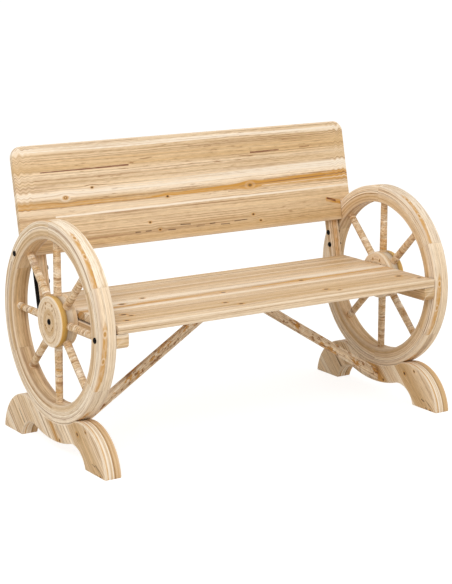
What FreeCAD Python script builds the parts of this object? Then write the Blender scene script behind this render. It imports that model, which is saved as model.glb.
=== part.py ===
import FreeCAD, Part
import math
import os
import Sketcher

doc = FreeCAD.newDocument("WagonWheelBench")
sheet = doc.addObject("Spreadsheet::Sheet", "Sizes")

# Driving sizes of the bench, in millimetres and degrees
drivingSizes = {
    # wheels
    "wheelGap": 1046,          # clear width between the two wheels
    "wheelRadius": 270,
    "rimWidth": 49,
    "rimThick": 49,
    "rimEase": 2.5,            # eased edges of the rim
    "treadGroove": 1.5,        # glue line between the two layers of a felloe
    "treadHeight": 86,         # the wheel's lowest point above the ground
    "hubRadius": 71,
    "hubProud": 2,             # how far the outer disc stands out of the rim's face
    "hubEase": 3,
    "spokeStart": 33,          # radius at which the spokes begin inside the hub
    "spokeHubDia": 23,
    "spokeRimDia": 20,
    "spokeTenon": 15,          # depth of a spoke's end in its felloe
    "fitClear": 0.2,           # room round spokes, dowels, bolts and screws
    # feet
    "cradleClear": 0.3,        # between the wheel's tread and the foot's cradle
    "archHeight": 32,          # the foot's underside above the ground, at its middle
    "webRadius": 324,          # arc of that underside
    "lobeOffset": 155,
    "lobeDrop": 13,
    "lobeBite": 3.1,           # how far a lobe's circle reaches into the cradle's
    "archOffset": 115,
    "archDrop": 17,
    "archBite": 0.7,           # how far an arch's circle reaches into the underside's
    "footEase": 2.5,
    # seat
    "seatRise": 38,            # the seat's top above the hubs
    "seatThick": 22.5,
    "seatReach": 270,          # front edge ahead of the hubs
    "frontBoard": 177,
    "middleBoard": 150,
    "boardGap": 1.5,
    "sideClear": 3.5,          # seat and backrest ends to the wheels
    "seatBackClear": 1,        # rear board to the posts
    "boardEase": 2,
    "railWidth": 37.5,
    "railHeight": 39,
    "railRecess": 3,           # rail's nose behind the seat's front edge
    "railNose": 10,
    "battenFrontRecess": 136,  # batten's ends inside the seat's front and rear edges
    "battenRearRecess": 15,
    # backrest
    "backLean": 12.3,
    "postInset": 116.4,        # posts' front plane ahead of the wheels' rear, at the hubs' height
    "panelThick": 16,
    "panelWidth": 1119,
    "panelLow": 146,           # lower edge above the hubs, along the slope
    "panelHeight": 299,
    "notchClear": 9,           # between the panel's wings and the wheels
    "panelCorner": 32,
    "postWidth": 41,
    "postDepth": 25,
    "postLow": 25,
    "postTop": 405,
    "strapThick": 5,
    "strapWidth": 23,
    "strapLow": 14,
    "strapPast": 15.6,         # strap's upper end beyond the rear rim bolt
    "strapEase": 1,
    # braces
    "braceThick": 14,
    "braceFront": 20,          # the brace's front face before the bench's middle plane
    "braceCut": 32.7,          # height of the upright cut at the foot
    "braceTuck": 19.4,         # height of the upright cut at the batten
    "braceRise": 7,            # the brace's lower end above the foot's underside
    "braceEase": 2,
    # fasteners
    "boltDia": 8,
    "boltHeadDia": 15,
    "boltHeadThick": 2.5,
    "boltKey": 5,              # hexagon across the flats
    "boltKeyDepth": 1.8,
    "wheelBoltLength": 76,
    "frontBoltInset": 27,      # rim bolts inside the tread
    "frontBoltRise": 3,
    "rearBoltInset": 19,
    "postBoltDia": 6,
    "postBoltInset": 8.5,      # behind the post's front plane
    "postBoltGap": 37,         # between the two bolts of a post
    "nutInset": 7.7,           # upper nut's line inside the rim
    "nutFlats": 10,
    "nutThick": 5.5,
    "nutStub": 2.5,
    "railBoltLength": 70,
    "screwDia": 4.5,
    "screwHeadDia": 9,
    "screwHeadThick": 2.5,
    "screwBite": 14,           # depth of a seat screw in its board
    "backScrewBite": 10,
    "footDowelDia": 10,
    "footDowelBite": 25,
    "footDowelTurn": 12,       # degrees either side of the wheel's lowest point
    "braceDowelDia": 6,
    "braceDowelBite": 12,
}
felloeCount = 6
spokeCount = 8
railScrewShares = (0.25, 0.75)  # places of the screws across a seat board's width
battenScrewShares = {"front": (0.87,), "middle": (0.25, 0.75), "rear": (0.25, 0.75)}
backScrewShares = (0.16, 0.46, 0.77)  # up the panel's height

# Sizes that follow from them: circles that just cross, and places on the wheel
followingSizes = {
    "hubHeight": "=wheelRadius + treadHeight",
    "seatTop": "=hubHeight + seatRise",
    "backOffset": "=wheelRadius - postInset",
    "lobeRadius": ("=sqrt(lobeOffset ^ 2 + (hubHeight + lobeDrop) ^ 2)"
                   " - wheelRadius - cradleClear + lobeBite"),
    "archRadius": "=sqrt(archOffset ^ 2 + (archHeight + webRadius + archDrop) ^ 2) - webRadius + archBite",
    "frontBoltReach": "=wheelRadius - frontBoltInset",
    "rearBoltRise": ("=sqrt((wheelRadius - rearBoltInset) ^ 2"
                     " - (backOffset * cos(backLean) + postDepth / 2) ^ 2)"
                     " - backOffset * sin(backLean)"),
    "strapTop": "=rearBoltRise + strapPast",
    "postBoltHigh": ("=sqrt((wheelRadius - rimWidth - nutInset) ^ 2"
                     " - (backOffset * cos(backLean) + postBoltInset) ^ 2)"
                     " - backOffset * sin(backLean)"),
    "postBoltLow": "=postBoltHigh - postBoltGap",
    "panelNotch": ("=sqrt((wheelRadius + notchClear) ^ 2 - (backOffset * cos(backLean) - panelThick) ^ 2)"
                   " - backOffset * sin(backLean) - panelLow"),
    "braceLow": "=archHeight + braceRise",
}

for row, (alias, size) in enumerate({**drivingSizes, **followingSizes}.items(), start=1):
    sheet.set(f"A{row}", alias)
    sheet.set(f"B{row}", str(size))
    sheet.setAlias(f"B{row}", alias)
doc.recompute()

# Places worked out from the driving sizes
wheelInner = "(Sizes.wheelGap / 2)"
wheelMid = f"({wheelInner} + Sizes.rimThick / 2)"
wheelOuter = f"({wheelInner} + Sizes.rimThick)"
hubOuter = f"({wheelOuter} + Sizes.hubProud)"
rimInner = "(Sizes.wheelRadius - Sizes.rimWidth)"
spokeLength = f"({rimInner} + Sizes.spokeTenon - Sizes.spokeStart)"
seatUnder = "(Sizes.seatTop - Sizes.seatThick)"
seatEnd = f"({wheelInner} - Sizes.sideClear)"
railInner = f"({wheelInner} - Sizes.railWidth)"
railLow = f"({seatUnder} - Sizes.railHeight)"
railMiddle = f"({seatUnder} - Sizes.railHeight / 2)"
railFront = "(Sizes.railRecess - Sizes.seatReach)"
frontEdge = "(-Sizes.seatReach)"
frontSeam = f"({frontEdge} + Sizes.frontBoard)"
middleEdge = f"({frontSeam} + Sizes.boardGap)"
middleSeam = f"({middleEdge} + Sizes.middleBoard)"
rearEdge = f"({middleSeam} + Sizes.boardGap)"
postOuter = f"({wheelInner} - Sizes.strapThick)"
postInner = f"({postOuter} - Sizes.postWidth)"
postMiddle = f"({postOuter} - Sizes.postWidth / 2)"
screwLine = f"({wheelInner} - Sizes.railWidth * 0.3)"
railBoltLine = f"({wheelInner} - Sizes.railWidth * 0.7)"
battenSide = "(Sizes.railWidth / 2)"


def postFrontAt(height):
    return f"(Sizes.backOffset + tan(Sizes.backLean) * ({height} - Sizes.hubHeight))"


seatBack = f"({postFrontAt(seatUnder)} - Sizes.seatBackClear)"
lineUp = FreeCAD.Vector(0, 0, 1)
lineAcross = FreeCAD.Vector(1, 0, 0)
lineForward = FreeCAD.Vector(0, -1, 0)


def number(formula):
    return float(sheet.evalExpression(formula))


def bind(item, ties):
    for path, formula in ties.items():
        item.setExpression(path, formula)
    return item


def rod(name, diameter, length, spot, direction):
    item = doc.addObject("Part::Cylinder", name)
    item.Placement = FreeCAD.Placement(FreeCAD.Vector(), FreeCAD.Rotation(lineUp, direction))
    across, along, above = spot
    return bind(item, {
        "Radius": f"({diameter}) / 2",
        "Height": length,
        "Placement.Base.x": across,
        "Placement.Base.y": along,
        "Placement.Base.z": above,
    })


def group(name, pieces):
    item = doc.addObject("Part::Compound", name)
    item.Links = pieces
    return item


def fuse(name, pieces):
    item = doc.addObject("Part::MultiFuse", name)
    item.Shapes = pieces
    item.Refine = True
    return item


def cut(label, base, tool):
    item = doc.addObject("Part::Cut", label)
    item.Base = base
    item.Tool = tool
    item.Label = label
    return item


def mirror(label, source):
    item = doc.addObject("Part::Mirroring", label)
    item.Source = source
    item.Normal = lineAcross
    item.Label = label
    return item


def lean(item):
    # The leaning frame stands on the posts' front plane, at the hubs' height
    item.Placement = FreeCAD.Placement(
        FreeCAD.Vector(), FreeCAD.Rotation(FreeCAD.Vector(-1, 0, 0), number("Sizes.backLean")))
    return bind(item, {
        "Placement.Base.y": "Sizes.backOffset",
        "Placement.Base.z": "Sizes.hubHeight",
        "Placement.Rotation.Angle": "Sizes.backLean",
    })


def drawCorners(sketch, corners):
    # A closed outline whose corners each follow the sheet
    points = [FreeCAD.Vector(number(across), number(above), 0) for across, above in corners]
    count = len(points)
    for place in range(count):
        sketch.addGeometry(Part.LineSegment(points[place], points[(place + 1) % count]), False)
    for place in range(count):
        sketch.addConstraint(Sketcher.Constraint("Coincident", place, 2, (place + 1) % count, 1))
    for place, (across, above) in enumerate(corners):
        for kind, formula, value in (("DistanceX", across, points[place].x),
                                     ("DistanceY", above, points[place].y)):
            index = sketch.addConstraint(Sketcher.Constraint(kind, -1, 1, place, 1, value))
            sketch.setExpression(f"Constraints[{index}]", formula)
    return sketch


def freeSketch(name):
    # A sketch that stands upright: its two directions are X and Z
    sketch = doc.addObject("Sketcher::SketchObject", name)
    sketch.Placement = FreeCAD.Placement(FreeCAD.Vector(), FreeCAD.Rotation(lineAcross, 90))
    return sketch


def bodySketch(body, role, offset):
    sketch = body.newObject("Sketcher::SketchObject", f"{body.Name}_outline")
    plane = [item for item in body.Origin.OriginFeatures if item.Role == role][0]
    sketch.AttachmentSupport = (plane, [""])
    sketch.MapMode = "FlatFace"
    sketch.setExpression("AttachmentOffset.Base.z", offset)
    return sketch


def addPad(body, sketch, length):
    pad = body.newObject("PartDesign::Pad", f"{body.Name}_pad")
    pad.Profile = sketch
    pad.setExpression("Length", length)
    doc.recompute()
    return pad


def addEase(body, feature, names, size):
    chamfer = body.newObject("PartDesign::Chamfer", f"{body.Name}_ease")
    chamfer.Base = (feature, names)
    chamfer.setExpression("Size", size)
    body.Tip = chamfer
    doc.recompute()
    return chamfer


def easeFaces(body, feature, direction, size):
    # Chamfers the outline of the flat faces that look along the given direction
    names = []
    for place, face in enumerate(feature.Shape.Faces, start=1):
        if face.Surface.TypeId == "Part::GeomPlane":
            if abs(abs(face.Surface.Axis.dot(direction)) - 1) < 1e-6:
                names.append(f"Face{place}")
    return addEase(body, feature, names, size)


def easeAll(body, feature, size):
    names = [f"Edge{place + 1}" for place in range(len(feature.Shape.Edges))]
    return addEase(body, feature, names, size)


def board(name, across, along, above, ease):
    # A straight board between two places in each direction, with eased edges
    body = doc.addObject("PartDesign::Body", name)
    sketch = bodySketch(body, "XY_Plane", above[0])
    drawCorners(sketch, [(across[0], along[0]), (across[1], along[0]),
                         (across[1], along[1]), (across[0], along[1])])
    pad = addPad(body, sketch, f"{above[1]} - {above[0]}")
    easeAll(body, pad, ease)
    return body


def wheelSpot(turn, radius):
    # A place in the wheel's middle plane, at an angle from the rear horizontal
    along = f"{radius} * cos({turn})"
    above = f"Sizes.hubHeight + {radius} * sin({turn})"
    return wheelMid, along, above


# Fasteners of the right side, each with the hole that takes it
def boltAcross(name, diameter, spot, seat, headOut, length):
    # A bolt along X with a flat round head and a hexagon key; headOut is 1 or -1
    along, above = spot
    head = lineAcross * headOut
    shankStart = f"({seat} - {headOut} * {length})"
    shank = rod(f"{name}_shank", diameter, length, (shankStart, along, above), head)
    cap = rod(f"{name}_cap", "Sizes.boltHeadDia", "Sizes.boltHeadThick", (seat, along, above), head)
    key = doc.addObject("Part::Prism", f"{name}_key")
    key.Placement = FreeCAD.Placement(FreeCAD.Vector(), FreeCAD.Rotation(lineUp, head))
    bind(key, {
        "Circumradius": "Sizes.boltKey / sqrt(3)",
        "Height": "Sizes.boltKeyDepth",
        "Placement.Base.x": f"{seat} + {headOut} * (Sizes.boltHeadThick - Sizes.boltKeyDepth)",
        "Placement.Base.y": along,
        "Placement.Base.z": above,
    })
    bolt = cut(name, fuse(f"{name}_blank", [shank, cap]), key)
    hole = rod(f"{name}_hole", f"{diameter} + 2 * Sizes.fitClear", f"{length} + Sizes.fitClear",
               (f"({shankStart} - {headOut} * Sizes.fitClear)", along, above), head)
    return bolt, hole


rearBoltAlong = ("(Sizes.backOffset + cos(Sizes.backLean) * Sizes.postDepth / 2"
                 " + sin(Sizes.backLean) * Sizes.rearBoltRise)")
rearBoltAbove = ("(Sizes.hubHeight - sin(Sizes.backLean) * Sizes.postDepth / 2"
                 " + cos(Sizes.backLean) * Sizes.rearBoltRise)")
frontBoltAbove = "(Sizes.hubHeight + Sizes.frontBoltRise)"
wheelBoltLines = {
    "hub_bolt": (("0", "Sizes.hubHeight"), hubOuter),
    "front_rim_bolt": (("-Sizes.frontBoltReach", frontBoltAbove), wheelOuter),
    "rear_rim_bolt": ((rearBoltAlong, rearBoltAbove), wheelOuter),
}
wheelBolts = []
wheelBoltHoles = []
for name, (spot, seat) in wheelBoltLines.items():
    bolt, hole = boltAcross(name, "Sizes.boltDia", spot, seat, 1, "Sizes.wheelBoltLength")
    wheelBolts.append(bolt)
    wheelBoltHoles.append(hole)

postBoltLength = "(Sizes.postWidth + Sizes.strapThick + Sizes.nutThick + Sizes.nutStub)"
postBolts = []
postBoltHoles = []
postNuts = []
for name, rise in (("low_post_bolt", "Sizes.postBoltLow"), ("high_post_bolt", "Sizes.postBoltHigh")):
    spot = ("Sizes.postBoltInset", rise)
    bolt, hole = boltAcross(name, "Sizes.postBoltDia", spot, postInner, -1, postBoltLength)
    postBolts.append(bolt)
    postBoltHoles.append(hole)
    nutBlank = doc.addObject("Part::Prism", f"{name}_nut_blank")
    nutBlank.Placement = FreeCAD.Placement(FreeCAD.Vector(), FreeCAD.Rotation(lineUp, lineAcross))
    bind(nutBlank, {
        "Circumradius": "Sizes.nutFlats / sqrt(3)",
        "Height": "Sizes.nutThick",
        "Placement.Base.x": wheelInner,
        "Placement.Base.y": spot[0],
        "Placement.Base.z": spot[1],
    })
    postNuts.append(cut(f"{name}_nut", nutBlank, hole))
leaningPostBolts = lean(group("right_post_bolts", postBolts))
leaningPostNuts = lean(group("right_post_nuts", postNuts))
leaningPostBoltHoles = lean(group("right_post_bolt_holes", postBoltHoles))

railBoltRise = f"(({railMiddle} - Sizes.hubHeight) * cos(Sizes.backLean))"
railBoltShank = rod("rail_bolt_shank", "Sizes.boltDia", "Sizes.railBoltLength",
                    (railBoltLine, "Sizes.postDepth", railBoltRise), lineForward)
railBoltCap = rod("rail_bolt_cap", "Sizes.boltHeadDia", "Sizes.boltHeadThick",
                  (railBoltLine, "Sizes.postDepth + Sizes.boltHeadThick", railBoltRise), lineForward)
railBoltHole = rod("rail_bolt_hole", "Sizes.boltDia + 2 * Sizes.fitClear",
                   "Sizes.railBoltLength + Sizes.fitClear",
                   (railBoltLine, "Sizes.postDepth", railBoltRise), lineForward)
leaningRailBolt = lean(group("right_rail_bolt", [fuse("rail_bolt", [railBoltShank, railBoltCap])]))
leaningRailBoltHole = lean(group("right_rail_bolt_hole", [railBoltHole]))


def screw(name, spot, direction, length):
    # A countersunk wood screw, its head's face at the given spot
    shank = rod(f"{name}_shank", "Sizes.screwDia", length, spot, direction)
    head = doc.addObject("Part::Cone", f"{name}_head")
    head.Placement = FreeCAD.Placement(FreeCAD.Vector(), FreeCAD.Rotation(lineUp, direction))
    bind(head, {
        "Radius1": "Sizes.screwHeadDia / 2",
        "Radius2": "Sizes.screwDia / 2",
        "Height": "Sizes.screwHeadThick",
        "Placement.Base.x": spot[0],
        "Placement.Base.y": spot[1],
        "Placement.Base.z": spot[2],
    })
    return fuse(name, [shank, head])


seatScrewLength = "(Sizes.railHeight + Sizes.screwBite)"
seatBoardEdges = {
    "front": (frontEdge, frontSeam),
    "middle": (middleEdge, middleSeam),
    "rear": (rearEdge, seatBack),
}
endScrews = []
middleScrews = []
for name, (near, far) in seatBoardEdges.items():
    for kind, across, shares, pieces in (("end", screwLine, railScrewShares, endScrews),
                                         ("middle", "0", battenScrewShares[name], middleScrews)):
        for place, share in enumerate(shares, start=1):
            along = f"({near} + ({far} - {near}) * {share})"
            pieces.append(screw(f"{name}_{kind}_screw_{place}", (across, along, railLow),
                                lineUp, seatScrewLength))
rightEndScrews = group("right_end_screws", endScrews)
leftEndScrews = mirror("left_end_screws", rightEndScrews)
middleScrewGroup = group("middle_screws", middleScrews)

backScrewLength = "(Sizes.postDepth + Sizes.backScrewBite)"
backScrews = []
for place, share in enumerate(backScrewShares, start=1):
    rise = f"(Sizes.panelLow + Sizes.panelHeight * {share})"
    backScrews.append(screw(f"back_screw_{place}", (postMiddle, "Sizes.postDepth", rise),
                            lineForward, backScrewLength))
rightBackScrews = lean(group("right_back_screws", backScrews))
leftBackScrews = mirror("left_back_screws", rightBackScrews)

footDowels = []
footDowelHoles = []
for place, side in enumerate((-1, 1), start=1):
    turn = f"(270 + {side} * Sizes.footDowelTurn)"
    for kind, spare, pieces in (("dowel", "0", footDowels), ("hole", "Sizes.fitClear", footDowelHoles)):
        reach = f"(Sizes.wheelRadius - Sizes.footDowelBite - {spare})"
        pin = rod(f"foot_{kind}_{place}", f"Sizes.footDowelDia + 2 * {spare}",
                  f"2 * (Sizes.footDowelBite + {spare})", wheelSpot(turn, reach), lineUp)
        pin.Placement.Rotation = FreeCAD.Rotation(lineAcross, number(f"{turn} - 90"))
        pin.setExpression("Placement.Rotation.Angle", f"{turn} - 90")
        pieces.append(pin)

braceDowelSpots = {
    "foot_end": (wheelInner, "Sizes.braceLow + Sizes.braceCut * 0.6"),
    "seat_end": (battenSide, f"{seatUnder} - Sizes.braceTuck / 2"),
}
braceMiddle = "(Sizes.braceThick / 2 - Sizes.braceFront)"
braceDowels = []
braceDowelHoles = []
for name, (seam, above) in braceDowelSpots.items():
    for kind, spare, pieces in (("dowel", "0", braceDowels), ("hole", "Sizes.fitClear", braceDowelHoles)):
        pieces.append(rod(f"brace_{name}_{kind}", f"Sizes.braceDowelDia + 2 * {spare}",
                          f"2 * (Sizes.braceDowelBite + {spare})",
                          (f"({seam} - Sizes.braceDowelBite - {spare})", braceMiddle, above), lineAcross))

# Wheel: tapered spokes, their sockets, felloes and hub discs
spokes = []
spokeSockets = []
for place in range(spokeCount):
    turn = place * 360 / spokeCount
    for kind, spare, pieces in (("spoke", "0", spokes), ("socket", "Sizes.fitClear", spokeSockets)):
        reach = f"(Sizes.spokeStart - {spare})"
        item = doc.addObject("Part::Cone", f"right_{kind}_{place + 1}")
        item.Placement = FreeCAD.Placement(FreeCAD.Vector(), FreeCAD.Rotation(lineAcross, turn - 90))
        across, along, above = wheelSpot(turn, reach)
        bind(item, {
            "Radius1": f"Sizes.spokeHubDia / 2 + {spare}",
            "Radius2": f"Sizes.spokeRimDia / 2 + {spare}",
            "Height": f"{spokeLength} + 2 * {spare}",
            "Placement.Base.x": across,
            "Placement.Base.y": along,
            "Placement.Base.z": above,
        })
        pieces.append(item)
for spoke in spokes:
    spoke.Label = spoke.Name
wheelCuts = group("wheel_cuts", spokeSockets + wheelBoltHoles + footDowelHoles)

rimProfile = freeSketch("rim_profile")
rimLow = f"({rimInner} + Sizes.rimEase)"
rimHigh = "(Sizes.wheelRadius - Sizes.rimEase)"
drawCorners(rimProfile, [
    (f"{wheelInner} + Sizes.rimEase", rimInner),
    (f"{wheelOuter} - Sizes.rimEase", rimInner),
    (wheelOuter, rimLow),
    (wheelOuter, rimHigh),
    (f"{wheelOuter} - Sizes.rimEase", "Sizes.wheelRadius"),
    (f"{wheelMid} + Sizes.treadGroove", "Sizes.wheelRadius"),
    (wheelMid, "Sizes.wheelRadius - Sizes.treadGroove"),
    (f"{wheelMid} - Sizes.treadGroove", "Sizes.wheelRadius"),
    (f"{wheelInner} + Sizes.rimEase", "Sizes.wheelRadius"),
    (wheelInner, rimHigh),
    (wheelInner, rimLow),
])
outerDiscProfile = drawCorners(freeSketch("outer_disc_profile"), [
    (wheelMid, "0"),
    (hubOuter, "0"),
    (hubOuter, "Sizes.hubRadius - Sizes.hubEase"),
    (f"{hubOuter} - Sizes.hubEase", "Sizes.hubRadius"),
    (wheelMid, "Sizes.hubRadius"),
])
innerDiscProfile = drawCorners(freeSketch("inner_disc_profile"), [
    (wheelInner, "0"),
    (wheelMid, "0"),
    (wheelMid, "Sizes.hubRadius"),
    (f"{wheelInner} + Sizes.hubEase", "Sizes.hubRadius"),
    (wheelInner, "Sizes.hubRadius - Sizes.hubEase"),
])


def turned(name, profile, sweep, start):
    item = doc.addObject("Part::Revolution", name)
    item.Source = profile
    item.Axis = lineAcross
    item.Base = FreeCAD.Vector()
    item.Angle = sweep
    item.Solid = True
    item.Placement = FreeCAD.Placement(FreeCAD.Vector(), FreeCAD.Rotation(lineAcross, start))
    item.setExpression("Placement.Base.z", "Sizes.hubHeight")
    return item


rightPieces = list(spokes)
felloeSweep = 360 / felloeCount
for place in range(felloeCount):
    blank = turned(f"felloe_blank_{place + 1}", rimProfile, felloeSweep, (place - 1) * felloeSweep)
    rightPieces.append(cut(f"right_felloe_{place + 1}", blank, wheelCuts))
for name, profile in (("hub_outer_disc", outerDiscProfile), ("hub_inner_disc", innerDiscProfile)):
    blank = turned(f"{name}_blank", profile, 360, 0)
    rightPieces.append(cut(f"right_{name}", blank, wheelCuts))

# Foot: an arched board whose outline is drawn with arcs and two flat toes
hubPoint = FreeCAD.Vector(0, number("Sizes.hubHeight"), 0)
cradleRadius = "(Sizes.wheelRadius + Sizes.cradleClear)"
webAbove = "(Sizes.archHeight + Sizes.webRadius)"
webPoint = FreeCAD.Vector(0, number(webAbove), 0)
webSize = number("Sizes.webRadius")


def meet(centreA, radiusA, centreB, radiusB, pickHigh):
    # Where two circles cross: the higher or the lower of their two meeting points
    span = centreB - centreA
    gap = span.Length
    share = (gap * gap + radiusA * radiusA - radiusB * radiusB) / (2 * gap)
    rise = math.sqrt(radiusA * radiusA - share * share)
    middle = centreA + span * (share / gap)
    sideways = FreeCAD.Vector(-span.y, span.x, 0) * (rise / gap)
    return max((middle + sideways, middle - sideways), key=lambda spot: spot.y * pickHigh)


footBody = doc.addObject("PartDesign::Body", "foot_blank")
footSketch = bodySketch(footBody, "YZ_Plane", wheelInner)


def drawArc(centre, radius, start, end):
    angles = [math.atan2(spot.y - centre.y, spot.x - centre.x) for spot in (start, end)]
    circle = Part.Circle(centre, lineUp, radius)
    return footSketch.addGeometry(Part.ArcOfCircle(circle, angles[0], angles[1]), False)


def tieArc(arc, across, above, radius):
    for constraint, formula in (
            (Sketcher.Constraint("DistanceX", -1, 1, arc, 3, number(across)), across),
            (Sketcher.Constraint("DistanceY", -1, 1, arc, 3, number(above)), above),
            (Sketcher.Constraint("Radius", arc, number(radius)), radius)):
        index = footSketch.addConstraint(constraint)
        footSketch.setExpression(f"Constraints[{index}]", formula)


def flip(spot):
    return FreeCAD.Vector(-spot.x, spot.y, 0)


lobeCentre = FreeCAD.Vector(number("Sizes.lobeOffset"), -number("Sizes.lobeDrop"), 0)
archCentre = FreeCAD.Vector(number("Sizes.archOffset"), -number("Sizes.archDrop"), 0)
lobeSize = number("Sizes.lobeRadius")
archSize = number("Sizes.archRadius")
cradleTip = meet(hubPoint, number(cradleRadius), lobeCentre, lobeSize, 1)
archTop = meet(webPoint, webSize, archCentre, archSize, 1)
if archTop.x > archCentre.x:
    archTop = meet(webPoint, webSize, archCentre, archSize, -1)
toeOuter = lobeCentre + FreeCAD.Vector(math.sqrt(lobeSize ** 2 - lobeCentre.y ** 2), -lobeCentre.y, 0)
toeInner = archCentre + FreeCAD.Vector(math.sqrt(archSize ** 2 - archCentre.y ** 2), -archCentre.y, 0)
cradleArc = drawArc(hubPoint, number(cradleRadius), flip(cradleTip), cradleTip)
rearLobe = drawArc(lobeCentre, lobeSize, toeOuter, cradleTip)
frontLobe = drawArc(flip(lobeCentre), lobeSize, flip(cradleTip), flip(toeOuter))
rearArch = drawArc(archCentre, archSize, toeInner, archTop)
frontArch = drawArc(flip(archCentre), archSize, flip(archTop), flip(toeInner))
webArc = drawArc(webPoint, webSize, flip(archTop), archTop)
rearToe = footSketch.addGeometry(Part.LineSegment(toeInner, toeOuter), False)
frontToe = footSketch.addGeometry(Part.LineSegment(flip(toeOuter), flip(toeInner)), False)
for first, firstEnd, second, secondEnd in (
        (cradleArc, 2, rearLobe, 2), (rearLobe, 1, rearToe, 2), (rearToe, 1, rearArch, 1),
        (rearArch, 2, webArc, 2), (webArc, 1, frontArch, 1), (frontArch, 2, frontToe, 2),
        (frontToe, 1, frontLobe, 2), (frontLobe, 1, cradleArc, 1)):
    footSketch.addConstraint(Sketcher.Constraint("Coincident", first, firstEnd, second, secondEnd))
for toe in (rearToe, frontToe):
    footSketch.addConstraint(Sketcher.Constraint("PointOnObject", toe, 1, -1))
    footSketch.addConstraint(Sketcher.Constraint("PointOnObject", toe, 2, -1))
tieArc(cradleArc, "0", "Sizes.hubHeight", cradleRadius)
tieArc(webArc, "0", webAbove, "Sizes.webRadius")
for lobe, side in ((rearLobe, ""), (frontLobe, "-")):
    tieArc(lobe, f"{side}Sizes.lobeOffset", "-Sizes.lobeDrop", "Sizes.lobeRadius")
for arch, side in ((rearArch, ""), (frontArch, "-")):
    tieArc(arch, f"{side}Sizes.archOffset", "-Sizes.archDrop", "Sizes.archRadius")
footPad = addPad(footBody, footSketch, "Sizes.rimThick")
footEdges = []
for place, edge in enumerate(footPad.Shape.Edges, start=1):
    onFace = edge.BoundBox.XLength < 0.001
    centred = edge.Curve.TypeId == "Part::GeomCircle" and abs(edge.Curve.Center.y) < 0.001
    if onFace and not centred:
        footEdges.append(f"Edge{place}")
addEase(footBody, footPad, footEdges, "Sizes.footEase")
footCuts = group("foot_cuts", footDowelHoles + [braceDowelHoles[0]])
rightPieces.append(cut("right_foot", footBody, footCuts))

# Brace: a slanting slat from the foot up to the batten, cut level where it meets the seat
braceRun = f"({wheelInner} - {battenSide})"
braceClimb = f"({seatUnder} - Sizes.braceTuck - Sizes.braceLow)"
braceMeet = f"({battenSide} + (Sizes.braceCut - Sizes.braceTuck) * {braceRun} / {braceClimb})"
braceBody = doc.addObject("PartDesign::Body", "brace_blank")
braceSketch = bodySketch(braceBody, "XZ_Plane", "Sizes.braceFront - Sizes.braceThick")
drawCorners(braceSketch, [
    (wheelInner, "Sizes.braceLow"),
    (wheelInner, "Sizes.braceLow + Sizes.braceCut"),
    (braceMeet, seatUnder),
    (battenSide, seatUnder),
    (battenSide, f"{seatUnder} - Sizes.braceTuck"),
])
bracePad = addPad(braceBody, braceSketch, "Sizes.braceThick")
easeFaces(braceBody, bracePad, FreeCAD.Vector(0, 1, 0), "Sizes.braceEase")
rightPieces.append(cut("right_brace", braceBody, group("brace_cuts", braceDowelHoles)))

# Seat rail: its nose is rounded below, its rear end lies against the leaning post
railBody = doc.addObject("PartDesign::Body", "rail_blank")
railSketch = bodySketch(railBody, "YZ_Plane", railInner)
drawCorners(railSketch, [
    (railFront, railLow),
    (postFrontAt(railLow), railLow),
    (postFrontAt(seatUnder), seatUnder),
    (railFront, seatUnder),
])
railPad = addPad(railBody, railSketch, "Sizes.railWidth")
noseSpot = FreeCAD.Vector(number(f"{railInner} + Sizes.railWidth / 2"), number(railFront), number(railLow))
noseEdges = [f"Edge{place}" for place, edge in enumerate(railPad.Shape.Edges, start=1)
             if (edge.CenterOfMass - noseSpot).Length < 0.01]
railRound = railBody.newObject("PartDesign::Fillet", "rail_nose")
railRound.Base = (railPad, noseEdges)
railRound.setExpression("Radius", "Sizes.railNose")
railBody.Tip = railRound
doc.recompute()
easeFaces(railBody, railRound, lineAcross, "Sizes.boardEase")
railCuts = group("rail_cuts", wheelBoltHoles[:2] + [leaningRailBoltHole, rightEndScrews])
rightPieces.append(cut("right_seat_rail", railBody, railCuts))

# Back post and its steel strap, both built in the leaning frame
postBody = lean(board("post_blank", (postInner, postOuter), ("0", "Sizes.postDepth"),
                      ("(-Sizes.postLow)", "Sizes.postTop"), "Sizes.boardEase"))
postCuts = group("post_cuts", [wheelBoltHoles[2], leaningPostBoltHoles, leaningRailBoltHole,
                               rightBackScrews])
rightPieces.append(cut("right_back_post", postBody, postCuts))
strapSides = ("((Sizes.postDepth - Sizes.strapWidth) / 2)", "((Sizes.postDepth + Sizes.strapWidth) / 2)")
strapBody = lean(board("strap_blank", (postOuter, wheelInner), strapSides,
                       ("(-Sizes.strapLow)", "Sizes.strapTop"), "Sizes.strapEase"))
strapCuts = group("strap_cuts", [wheelBoltHoles[2], leaningPostBoltHoles])
rightPieces.append(cut("right_post_strap", strapBody, strapCuts))

nodes = list(rightPieces)
for piece in rightPieces:
    nodes.append(mirror(piece.Label.replace("right_", "left_", 1), piece))

# Seat boards and the batten that ties them
seatCuts = group("seat_cuts", [rightEndScrews, leftEndScrews, middleScrewGroup])
for name, edges in seatBoardEdges.items():
    blank = board(f"{name}_board_blank", (f"(-{seatEnd})", seatEnd), edges,
                  (seatUnder, "Sizes.seatTop"), "Sizes.boardEase")
    nodes.append(cut(f"seat_{name}_board", blank, seatCuts))
battenBody = board("batten_blank", (f"(-{battenSide})", battenSide),
                   (f"({frontEdge} + Sizes.battenFrontRecess)",
                    f"({seatBack} - Sizes.battenRearRecess)"),
                   (railLow, seatUnder), "Sizes.boardEase")
leftBattenHole = mirror("left_batten_hole", braceDowelHoles[1])
battenCuts = group("batten_cuts", [middleScrewGroup, braceDowelHoles[1], leftBattenHole])
nodes.append(cut("seat_batten", battenBody, battenCuts))

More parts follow.
